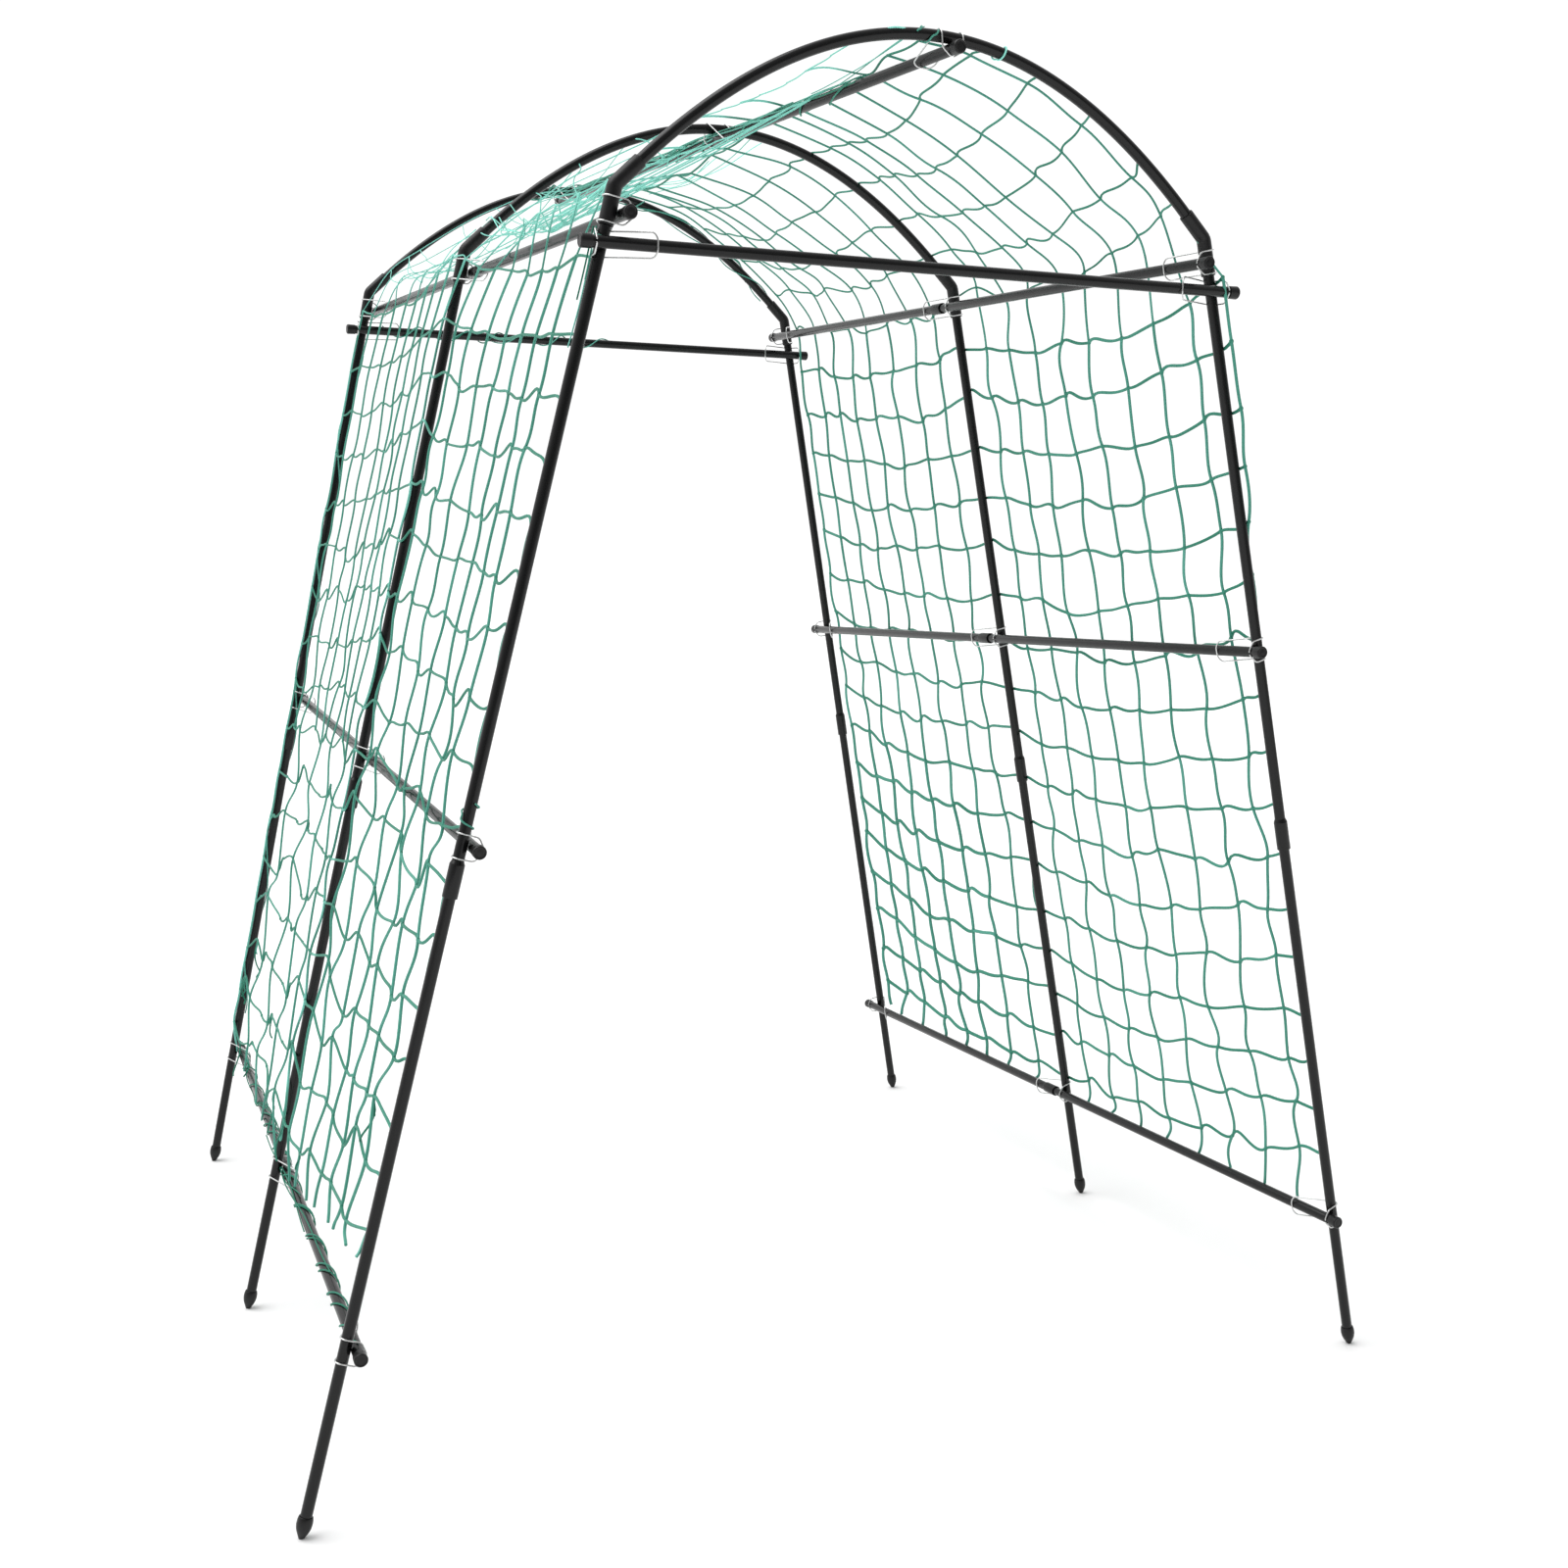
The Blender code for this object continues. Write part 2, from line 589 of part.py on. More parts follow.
def net_mesh(name: str, knots: list, tied_rows: range, look: bpy.types.Material) -> bpy.types.Mesh:
    """Square-mesh net: a knot block at each crossing, and strands bridged between the blocks.

    A row outside tied_rows has only the loose ends of its column strands.
    """
    bm = bmesh.new()
    along = Vector((0, 1, 0))
    blocks = []
    for row in knots:
        blocks.append([knot_block(bm, centre, along, up, out) for centre, up, out in row])
    last_row = len(blocks) - 1
    last_column = len(blocks[0]) - 1
    for i, row in enumerate(blocks):
        for j, block in enumerate(row):
            bm.faces.new([block[c] for c in ("---", "-+-", "++-", "+--")])
            bm.faces.new([block[c] for c in ("--+", "+-+", "+++", "-++")])
            if i in tied_rows and j < last_column:
                bridge(bm, block, row[j + 1], 0)
            if i < last_row:
                bridge(bm, block, blocks[i + 1][j], 1)
            if i not in tied_rows or j == last_column:
                close_side(bm, block, 0, "+")
            if i not in tied_rows or j == 0:
                close_side(bm, block, 0, "-")
            if i == last_row:
                close_side(bm, block, 1, "+")
            if i == 0:
                close_side(bm, block, 1, "-")
    return finish(name, bm, look)


def knot_block(bm: bmesh.types.BMesh, centre: Vector, along: Vector, up: Vector, out: Vector) -> dict:
    """Eight corners of a knot. A corner's name gives its sign along, up and out."""
    block = {}
    for a in "-+":
        for b in "-+":
            for c in "-+":
                signs = [1 if sign == "+" else -1 for sign in (a, b, c)]
                shift = along * signs[0] + up * signs[1] + out * signs[2]
                block[a + b + c] = bm.verts.new(centre + shift * STRAND_HALF)
    return block


def side_corners(block: dict, axis: int, sign: str) -> list:
    """The four corners of a knot's side, in order round it. axis is 0 along and 1 up."""
    others = ("--", "-+", "++", "+-")
    names = [sign + o if axis == 0 else o[0] + sign + o[1] for o in others]
    return [block[name] for name in names]


def bridge(bm: bmesh.types.BMesh, near: dict, far: dict, axis: int) -> None:
    """Strand between two neighbouring knots."""
    start = side_corners(near, axis, "+")
    stop = side_corners(far, axis, "-")
    for k in range(4):
        after = (k + 1) % 4
        bm.faces.new((start[k], start[after], stop[after], stop[k]))


def close_side(bm: bmesh.types.BMesh, block: dict, axis: int, sign: str) -> None:
    """Blunt end where no strand leaves a knot."""
    bm.faces.new(side_corners(block, axis, sign))


def build_hoops(looks: dict) -> None:
    """Three hoops, each with two legs in two lengths, two elbows and an arch."""
    arch = arch_mesh("arch", looks["coated_tube"])
    half_turn = Matrix.Rotation(math.pi, 4, "Z")
    for index, hoop in enumerate(HOOPS):
        y = hoop_y(index)
        parent = group(f"{hoop}_hoop", (0, y, 0))
        lower = lower_leg_mesh(f"{hoop}_lower_leg", y, looks["coated_tube"])
        upper = upper_leg_mesh(f"{hoop}_upper_leg", y, looks["coated_tube"])
        elbow = elbow_mesh(f"{hoop}_elbow", y, looks["moulded_plastic"])
        add_object(f"{hoop}_arch", arch, parent, Matrix.Translation((0, y, 0)))
        for label, side in SIDES.items():
            up = leg_up(side, y)
            outward = Vector((side, 0, 0))
            foot = leg_point(side, y, 0)
            mouth = leg_point(side, y, COUPLING_HEIGHT) - up * (BELL_LENGTH / 2)
            place = frame_at(foot, up, outward)
            add_object(f"{hoop}_{label}_lower_leg", lower, parent, place)
            add_object(f"{hoop}_{label}_upper_leg", upper, parent, frame_at(mouth, up, outward))
            bend = Matrix.Translation(leg_point(side, y, BEND_HEIGHT))
            spin = half_turn if side < 0 else Matrix.Identity(4)
            add_object(f"{hoop}_{label}_elbow", elbow, parent, bend @ spin)


def build_rails(looks: dict) -> None:
    """Seven lengthwise rails, each tied to the three hoops by a clip."""
    rails = group("rails", (0, 0, 0))
    clips = group("rail_clips", (0, 0, 0))
    for name, (side, post_radius, seats) in rail_seats().items():
        middle, along = rail_axis(seats)
        span = (seats[2][0] - seats[0][0]).length + 2 * TIE_OVERHANG
        toward_bell = 1 if side > 0 else -1
        mesh = rail_mesh(name, span, looks["coated_tube"])
        place = frame_at(middle, along * toward_bell, Vector((1, 0, 0)))
        add_object(name, mesh, rails, place)
        for index, (seat, out) in enumerate(seats):
            inward = (1, toward_bell, -1)[index]
            post_point = seat + out * (TUBE_RADIUS + post_radius + TOUCH_GAP)
            post_up = leg_up(side, hoop_y(index)) if side else Vector((out.z, 0, -out.x))
            bar_point = middle + along * (seat - middle).dot(along)
            frame = clip_frame(bar_point, along * inward, post_point, post_up)
            clip_name = f"{name}_{HOOPS[index]}_clip"
            post = (post_radius, post_up, post_point)
            clip = clip_mesh(clip_name, post, frame, looks["spring_wire"])
            add_object(clip_name, clip, clips, frame)


def crossbar_height(y: float) -> float:
    """Height of a crossbar, just below the mouths of the elbows."""
    mouth = BEND_HEIGHT - ELBOW_LEG_ARM * math.cos(splay(y))
    return mouth - CLIP_SPREAD - CROSSBAR_CLEARANCE


def build_crossbars(looks: dict) -> None:
    """A crossbar on the front side of the front and the rear legs, with a clip at each leg."""
    bars = group("crossbars", (0, 0, 0))
    for index in (0, 2):
        y = hoop_y(index)
        z = crossbar_height(y)
        half = abs(leg_point(1, y, z).x) + TIE_OVERHANG
        centre = Vector((0, y - 2 * TUBE_RADIUS - TOUCH_GAP, z))
        name = f"{HOOPS[index]}_crossbar"
        mesh = crossbar_mesh(name, 2 * half, looks["coated_tube"])
        across = Vector((1, 0, 0))
        add_object(name, mesh, bars, frame_at(centre, across, Vector((0, 0, 1))))
        for label, side in SIDES.items():
            post_point = leg_point(side, y, z)
            post_up = leg_up(side, y)
            bar_point = Vector((post_point.x, centre.y, z))
            frame = clip_frame(bar_point, across * -side, post_point, post_up)
            clip_name = f"{name}_{label}_clip"
            post = (TUBE_RADIUS, post_up, post_point)
            clip = clip_mesh(clip_name, post, frame, looks["spring_wire"])
            add_object(clip_name, clip, bars, frame)


def build_net(looks: dict) -> None:
    """Net in four panels: two side walls, and two halves of the roof that meet at the crown."""
    net = group("net", (0, 0, 0))
    twine = looks["net_twine"]
    left = side_knots(-1, LEFT_SAG, LEFT_LOW_RAIL_FRONT, LEFT_LOW_RAIL_REAR)
    right = side_knots(1, RIGHT_SAG, RIGHT_LOW_RAIL_FRONT, RIGHT_LOW_RAIL_REAR)
    clear = 2 * STRAND_HALF + TOUCH_GAP
    roof_left = roof_knots(-1, clear, 0)
    roof_right = roof_knots(1, clear, clear)
    side_rows = range(NET_SIDE_ROWS + 1)
    panels = {
        "net_left_wall": (left, side_rows),
        "net_right_wall": (right, side_rows),
        "net_left_roof": (roof_left, range(1, NET_ROOF_ROWS + 1)),
        "net_right_roof": (roof_right, range(1, NET_ROOF_ROWS)),
    }
    for name, (knots, tied_rows) in panels.items():
        add_object(name, net_mesh(name, knots, tied_rows, twine), net, Matrix.Identity(4))


def main() -> None:
    """Clear the scene and model the trellis."""
    for old in list(bpy.data.objects):
        bpy.data.objects.remove(old, do_unlink=True)
    looks = {
        "coated_tube": material("coated_tube", (0.021, 0.022, 0.022), 0.42, 0.0),
        "moulded_plastic": material("moulded_plastic", (0.012, 0.012, 0.013), 0.50, 0.0),
        "spring_wire": material("spring_wire", (0.62, 0.62, 0.61), 0.28, 1.0),
        "net_twine": material("net_twine", (0.045, 0.305, 0.190), 0.75, 0.0),
    }
    build_hoops(looks)
    build_rails(looks)
    build_crossbars(looks)
    build_net(looks)


main()
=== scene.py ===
"""Looks of a walk-through garden trellis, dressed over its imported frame.

X runs across the walkway, Y along it from the front hoop to the rear one, and Z up.
Sizes are in metres and angles in radians.
"""

from __future__ import annotations

import logging
import math
from dataclasses import dataclass, field, fields, replace
from enum import Enum
from typing import Sequence

import bpy
import numpy as np
from mathutils import Matrix

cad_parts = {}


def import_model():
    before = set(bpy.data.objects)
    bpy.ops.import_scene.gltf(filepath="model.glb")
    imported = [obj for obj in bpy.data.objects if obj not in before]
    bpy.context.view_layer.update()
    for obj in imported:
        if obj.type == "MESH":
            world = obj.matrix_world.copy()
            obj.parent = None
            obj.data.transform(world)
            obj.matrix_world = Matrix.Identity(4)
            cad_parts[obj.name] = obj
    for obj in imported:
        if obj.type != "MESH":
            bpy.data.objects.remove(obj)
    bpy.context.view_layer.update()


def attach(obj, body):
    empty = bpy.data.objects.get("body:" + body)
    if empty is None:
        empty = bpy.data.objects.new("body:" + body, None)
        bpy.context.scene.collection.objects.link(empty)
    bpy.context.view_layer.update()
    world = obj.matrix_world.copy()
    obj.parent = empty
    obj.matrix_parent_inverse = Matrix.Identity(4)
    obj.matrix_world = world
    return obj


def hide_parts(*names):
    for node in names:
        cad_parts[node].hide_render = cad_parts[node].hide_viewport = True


Array = np.ndarray
Socket = bpy.types.NodeSocket
LOG = logging.getLogger("trellis")

ALONG_X = np.array([1.0, 0.0, 0.0])
ALONG_Y = np.array([0.0, 1.0, 0.0])
ALONG_Z = np.array([0.0, 0.0, 1.0])
WHOLE_TURN = 2 * math.pi
# Most of an edge that the rounding of one of its corners takes.
LONGEST_EASE = 0.45
# How far out the rings of a wire's rounded end lie, and how wide they are, in the wire's radii.
END_REACH = np.array([1.0, 0.93, 0.5])
END_WIDTH = np.array([0.0, 0.37, 0.87])
# A knot's vertices round a ring, its rings, and its height as a share of its width.
KNOT_SIDES = 7
KNOT_RINGS = 3
KNOT_SQUASH = 0.8
# Least angle between two faces whose edge stays sharp.
SHARP_FROM = math.radians(38)
# The values between which fractal noise mostly lies.
NOISE_SPAN = (0.3, 0.7)
# Start of the random numbers, which makes every run the same.
SEED = 29


class Side(Enum):
    """The two sides of the walkway, by the sign of X."""

    LEFT = -1
    RIGHT = 1


class Station(Enum):
    """The three hoops, in order along the walkway."""

    FRONT = 0
    MIDDLE = 1
    REAR = 2


class Slot(Enum):
    """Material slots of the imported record."""

    TUBE = "coated_tube"
    PLASTIC = "moulded_plastic"
    WIRE = "spring_wire"
    TWINE = "net_twine"


def unit(vectors: Array) -> Array:
    """Vectors divided by their lengths, along the last axis."""
    return vectors / np.linalg.norm(vectors, axis=-1, keepdims=True)


def square_to(tangents: Array, vectors: Array) -> Array:
    """Unit vectors along the parts of some vectors that are square to some unit tangents."""
    return unit(vectors - np.sum(vectors * tangents, axis=-1, keepdims=True) * tangents)


def running(steps: Array) -> Array:
    """Distance to each point of a line, from the steps between its points."""
    return np.concatenate([[0.0], np.cumsum(steps)])


def stacked(x: Array, y: Array, z: Array) -> Array:
    """Points from their three coordinates, which may have different but fitting shapes."""
    return np.stack(np.broadcast_arrays(x, y, z), axis=-1).astype(float)


def smoothstep(t: Array) -> Array:
    """Rises from 0 to 1 as t does, level at both ends: 3 t squared less 2 t cubed."""
    t = np.clip(t, 0.0, 1.0)
    return t * t * (3 - 2 * t)


@dataclass(frozen=True)
class TrellisSizes:
    """Driving sizes of the trellis, with the lines and surfaces that follow from them."""

    tube_radius: float = 0.008
    push_fit: float = 0.00035
    touch_gap: float = 0.0003
    end_gap: float = 0.0005
    hoop_spacing: float = 0.75
    eave_half_width: float = 0.44
    bend_height: float = 1.72
    front_foot_half_width: float = 0.842
    rear_foot_half_width: float = 0.762
    arch_end_angle: float = math.radians(43.8)
    coupling_height: float = 0.85
    socket_wall: float = 0.00185
    elbow_leg_arm: float = 0.052
    elbow_arch_arm: float = 0.045
    tie_overhang: float = 0.034
    eave_rail_drop: float = 0.032
    ridge_shift_front: float = 0.020
    ridge_shift_rear: float = -0.050
    clip_standoff: float = 0.008
    crossbar_clearance: float = 0.0064

    @property
    def socket_radius(self) -> float:
        """Bore of every socket: the tube with its push-fit clearance."""
        return self.tube_radius + self.push_fit

    @property
    def sleeve_radius(self) -> float:
        """Outside of every socket."""
        return self.socket_radius + self.socket_wall

    def hoop_y(self, station: Station) -> float:
        """Y of a hoop's plane."""
        return (station.value - 1) * self.hoop_spacing

    def reach(self, y: Array) -> Array:
        """How far a foot stands out past the eave, which narrows evenly from front to rear."""
        share = 0.5 + np.asarray(y) / (2 * self.hoop_spacing)
        foot = self.front_foot_half_width + share * (self.rear_foot_half_width - self.front_foot_half_width)
        return foot - self.eave_half_width

    def leg_point(self, side: Array, y: Array, z: Array) -> Array:
        """Points at height z on the plane through the legs of one side."""
        out = self.eave_half_width + self.reach(y) * (1 - np.asarray(z) / self.bend_height)
        return stacked(side * out, y, z)

    def leg_up(self, side: Array, y: Array) -> Array:
        """Unit vectors up the legs: (minus side times the foot's reach, 0, bend height), made unit."""
        return unit(stacked(-side * self.reach(y), 0.0, self.bend_height))

    def wall_outward(self, side: Array, y: Array) -> Array:
        """Unit vectors square to the legs and away from the walkway."""
        return unit(stacked(side * self.bend_height, 0.0, self.reach(y)))

    @property
    def arch_join(self) -> tuple[float, float]:
        """X and Z where the arch leaves the straight end that the elbow holds."""
        run = self.elbow_arch_arm + self.end_gap
        x = self.eave_half_width - run * math.cos(self.arch_end_angle)
        return x, self.bend_height + run * math.sin(self.arch_end_angle)

    def arch_slope(self, x: Array) -> Array:
        """Slope of the arch: it grows in proportion to x up to the join, and then stays the same."""
        join_x, _ = self.arch_join
        steepness = np.minimum(np.abs(x) / join_x, 1.0) * math.tan(self.arch_end_angle)
        return -np.sign(x) * steepness

    def arch_height(self, x: Array) -> Array:
        """Height of the arch: a parabola up to the join, and its tangent line beyond."""
        join_x, join_z = self.arch_join
        slope = math.tan(self.arch_end_angle)
        inner = join_z + slope * (join_x**2 - np.square(x)) / (2 * join_x)
        outer = join_z - slope * (np.abs(x) - join_x)
        return np.where(np.abs(x) < join_x, inner, outer)

    def arch_outward(self, x: Array) -> Array:
        """Unit vectors square to the arch and away from the walkway."""
        return unit(stacked(-self.arch_slope(x), 0.0, 1.0))


@dataclass(frozen=True)
class StraightLine:
    """A straight centreline: start plus s times direction."""

    start: Array
    direction: Array

    def at(self, s: Array) -> tuple[Array, Array]:
        """Points and unit tangents at distances s along the line."""
        along = unit(np.asarray(self.direction, float))
        points = np.asarray(self.start, float) + np.asarray(s)[:, None] * along
        return points, np.broadcast_to(along, points.shape)


@dataclass(frozen=True)
class SampledLine:
    """A bent centreline that is known at close points, and straight between them."""

    points: Array

    @property
    def arc(self) -> Array:
        """Distance along the line at each of its points."""
        return running(np.linalg.norm(np.diff(self.points, axis=0), axis=1))

    @property
    def length(self) -> float:
        """Length of the whole line."""
        return float(self.arc[-1])

    def at(self, s: Array) -> tuple[Array, Array]:
        """Points and unit tangents at distances s along the line."""
        arc = self.arc
        tangents = np.gradient(self.points, arc, axis=0)
        place = np.stack([np.interp(s, arc, self.points[:, k]) for k in range(3)], axis=1)
        along = np.stack([np.interp(s, arc, tangents[:, k]) for k in range(3)], axis=1)
        return place, unit(along)


Centreline = StraightLine | SampledLine


@dataclass
class Surface:
    """A mesh as whole arrays: vertices, faces of three and four corners with their UVs, and shades.

    A UV runs round a member in u and along it in v. The tone is a shade from 0 to 1 at each vertex.
    """

    verts: Array
    quads: Array
    tris: Array
    quad_uv: Array
    tri_uv: Array
    tone: Array

    def flattened(self, floor: float) -> Surface:
        """The same surface with every vertex below the floor raised to it."""
        verts = self.verts.copy()
        verts[:, 2] = np.maximum(verts[:, 2], floor)
        return replace(self, verts=verts)


def joined(parts: Sequence[Surface]) -> Surface:
    """Several surfaces as one mesh of separate shells.

    Args:
        parts: The surfaces, in order.

    Returns:
        One surface, with each part's face corners shifted past the vertices before it.
    """
    starts = np.cumsum([0] + [len(p.verts) for p in parts[:-1]])
    shifted = [replace(p, quads=p.quads + n, tris=p.tris + n) for p, n in zip(parts, starts)]
    arrays = ([getattr(p, item.name) for p in shifted] for item in fields(Surface))
    return Surface(*map(np.concatenate, arrays))


def circle(sides: int) -> Array:
    """Even angles round a circle, from 0."""
    return WHOLE_TURN * np.arange(sides) / sides


def eased(points: Array, reach: float, steps: int) -> Array:
    """Rounds the corners of a line of points.

    Each corner P with neighbours A and B becomes the curve (1-t)^2 A' + 2t(1-t) P + t^2 B', where A'
    and B' lie on its two edges at a distance of reach, or LONGEST_EASE of the edge if that is shorter.

    Args:
        points: Corners of the line, in two or three dimensions.
        reach: Distance from a corner to where its curve starts.
        steps: Points on each curve.

    Returns:
        The rounded line, with its two ends kept.
    """
    before, here, after = points[:-2], points[1:-1], points[2:]
    back, ahead = before - here, after - here
    room_back = np.linalg.norm(back, axis=1, keepdims=True)
    room_ahead = np.linalg.norm(ahead, axis=1, keepdims=True)
    start = here + back / room_back * np.minimum(reach, LONGEST_EASE * room_back)
    stop = here + ahead / room_ahead * np.minimum(reach, LONGEST_EASE * room_ahead)
    t = np.linspace(0, 1, steps)[None, :, None]
    curves = (1 - t) ** 2 * start[:, None] + 2 * t * (1 - t) * here[:, None] + t**2 * stop[:, None]
    return np.concatenate([points[:1], curves.reshape(-1, points.shape[1]), points[-1:]])


def closer(profile: Array, step: float) -> Array:
    """A profile with points added so that none of its edges is longer than a step along the line.

    Args:
        profile: Points (distance along, radius).
        step: Longest step.

    Returns:
        The profile's points and the added ones, in order.
    """
    counts = np.maximum(1, np.ceil(np.abs(np.diff(profile[:, 0])) / step)).astype(int)
    edge = np.repeat(np.arange(len(counts)), counts)
    inside = np.arange(len(edge)) - np.repeat(np.cumsum(counts) - counts, counts)
    share = (inside / counts[edge])[:, None]
    return np.concatenate([profile[edge] * (1 - share) + profile[edge + 1] * share, profile[-1:]])


def band_quads(low: Array, sides: int) -> Array:
    """Faces of bands between two rings of vertices.

    Args:
        low: First vertex of the lower ring of each band, with a last axis of one.
        sides: Vertices round a ring.

    Returns:
        Vertex numbers, of the bands' shape with the sides and the four corners as its last axes.
    """
    here = np.arange(sides)
    after = (here + 1) % sides
    return np.stack([low + here, low + after, low + sides + after, low + sides + here], axis=-1)


def capped_faces(rings: int, sides: int) -> tuple[Array, Array]:
    """Faces of a closed solid whose vertices are its rings, then its first pole and its last.

    Args:
        rings: Number of rings.
        sides: Vertices round a ring.

    Returns:
        The faces of four corners between the rings, and the faces of three round the two poles.
    """
    quads = band_quads((np.arange(rings - 1) * sides)[:, None], sides)
    here = np.arange(sides)
    after = (here + 1) % sides
    pole = np.full(sides, rings * sides)
    top = (rings - 1) * sides
    first = np.stack([pole, after, here], axis=-1)
    last = np.stack([top + here, top + after, pole + 1], axis=-1)
    return quads.reshape(-1, 4), np.concatenate([first, last])


def corner_uvs(*corners: tuple[Array, Array]) -> Array:
    """UVs of faces from the u and v of each of their corners, whose shapes fit each other."""
    return np.stack([np.stack(np.broadcast_arrays(u, v), axis=-1) for u, v in corners], axis=-2)


def band_uvs(around: Array, along: Array) -> Array:
    """UVs of the faces between rings, from u at each side's edges and v at each ring."""
    left, right = around[:-1], around[1:]
    near, far = along[..., :-1, None], along[..., 1:, None]
    return corner_uvs((left, near), (right, near), (right, far), (left, far)).reshape(-1, 4, 2)


def ring_solid(points: Array, u: Array, v: Array, radii: Array, sides: int) -> Surface:
    """A closed round solid: at each station a circle, and a pole at either end.

    A vertex is point + radius * (cos(a) u + sin(a) v), for the angle a round the circle.

    Args:
        points: Centres of the stations.
        u: First unit vector across the line at each station.
        v: Second unit vector, which is the tangent crossed with u.
        radii: Radius at each station. The first and last are taken as poles.
        sides: Vertices round each circle.

    Returns:
        The surface, whose UVs are metres round and metres along.
    """
    angle = circle(sides)
    outward = np.cos(angle)[None, :, None] * u[:, None] + np.sin(angle)[None, :, None] * v[:, None]
    rings = points[1:-1, None] + radii[1:-1, None, None] * outward[1:-1]
    verts = np.concatenate([rings.reshape(-1, 3), points[:1], points[-1:]])
    quads, tris = capped_faces(len(rings), sides)
    along = running(np.hypot(np.linalg.norm(np.diff(points, axis=0), axis=1), np.diff(radii)))
    around = WHOLE_TURN * radii.max() * np.arange(sides + 1) / sides
    left, right = around[:-1], around[1:]
    middle = 0.5 * (left + right)
    first_uv = corner_uvs((middle, along[0]), (right, along[1]), (left, along[1]))
    last_uv = corner_uvs((left, along[-2]), (right, along[-2]), (middle, along[-1]))
    return Surface(
        verts,
        quads,
        tris,
        band_uvs(around, along[1:-1]),
        np.concatenate([first_uv, last_uv]),
        np.zeros(len(verts)),
    )


def turned(line: Centreline, profile: Array, across: Array, sides: int = 28) -> Surface:
    """A round member: a profile of (distance along, radius) turned about a centreline.

    Args:
        line: The centreline.
        profile: Points (s, r), with a radius of 0 at both ends.
        across: A direction that is never along the line, from which the angles are counted.
        sides: Vertices round the member.

    Returns:
        The closed surface.
    """
    points, tangents = line.at(profile[:, 0])
    u = square_to(tangents, across)
    return ring_solid(points, u, np.cross(tangents, u), profile[:, 1], sides)


def carried_frames(points: Array, start: Array) -> tuple[Array, Array]:
    """Unit vectors across a line in space, carried from point to point without twisting.

    Args:
        points: Points of the line.
        start: A direction across its first edge.

    Returns:
        Two arrays of unit vectors, square to the line and to each other.
    """
    tangents = unit(np.gradient(points, axis=0))
    u = np.empty_like(points)
    u[0] = unit(start - tangents[0] * np.dot(start, tangents[0]))
    for k in range(1, len(points)):
        leaned = u[k - 1] - tangents[k] * np.dot(u[k - 1], tangents[k])
        u[k] = leaned / np.linalg.norm(leaned)
    return u, np.cross(tangents, u)


def wire_solid(points: Array, start: Array, radius: float, sides: int) -> Surface:
    """A round wire along a line in space, with its two ends rounded over one radius.

    Args:
        points: Points of its axis.
        start: A direction across its first edge.
        radius: The wire's radius.
        sides: Vertices round it.

    Returns:
        The closed surface.
    """
    reach = END_REACH[:, None]
    lead = points[0] - unit(points[1] - points[0]) * radius * reach
    tail = points[-1] + unit(points[-1] - points[-2]) * radius * reach[::-1]
    path = np.concatenate([lead, points, tail])
    radii = radius * np.concatenate([END_WIDTH, np.ones(len(points)), END_WIDTH[::-1]])
    u, v = carried_frames(path, start)
    return ring_solid(path, u, v, radii, sides)


def strand_solids(paths: Array, normals: Array, radius: Array, tones: Array, sides: int = 6) -> Surface:
    """Many thin strands at once, each a tube of the same number of stations with flat ends.

    A vertex is path + radius * (cos(a) u + sin(a) v), where u is the surface's normal made square to
    the strand and v is the strand's tangent crossed with u.

    Args:
        paths: Centre points, of shape (strands, stations, 3).
        normals: Directions that are never along a strand, of a shape that fits paths.
        radius: Radius of each strand, or one for all.
        tones: Shade from 0 to 1, of a shape that fits (strands, stations).
        sides: Vertices round a strand.

    Returns:
        One surface with all the strands.
    """
    strands, stations, _ = paths.shape
    tangents = unit(np.gradient(paths, axis=1))
    u = square_to(tangents, normals)
    v = np.cross(tangents, u)
    angle = circle(sides)
    size = np.broadcast_to(radius, (strands,))[:, None, None, None]
    outward = np.cos(angle)[:, None] * u[:, :, None] + np.sin(angle)[:, None] * v[:, :, None]
    rings = paths[:, :, None] + size * outward
    base = (np.arange(strands) * stations * sides)[:, None, None]
    quads = band_quads(base + (np.arange(stations - 1) * sides)[None, :, None], sides)
    fan = np.arange(1, sides - 1)
    first = base[:, :, 0] + np.zeros((1, sides - 2), int)
    last = first + (stations - 1) * sides
    start_tris = np.stack([first, first + fan + 1, first + fan], axis=-1)
    end_tris = np.stack([last, last + fan, last + fan + 1], axis=-1)
    tris = np.concatenate([start_tris.reshape(-1, 3), end_tris.reshape(-1, 3)])
    steps = np.linalg.norm(np.diff(paths, axis=1), axis=2)
    along = np.concatenate([np.zeros((strands, 1)), np.cumsum(steps, axis=1)], axis=1)
    return Surface(
        rings.reshape(-1, 3),
        quads.reshape(-1, 4),
        tris,
        band_uvs(np.arange(sides + 1) / sides, along),
        np.zeros((len(tris), 3, 2)),
        np.repeat(np.broadcast_to(tones, (strands, stations)).ravel(), sides),
    )


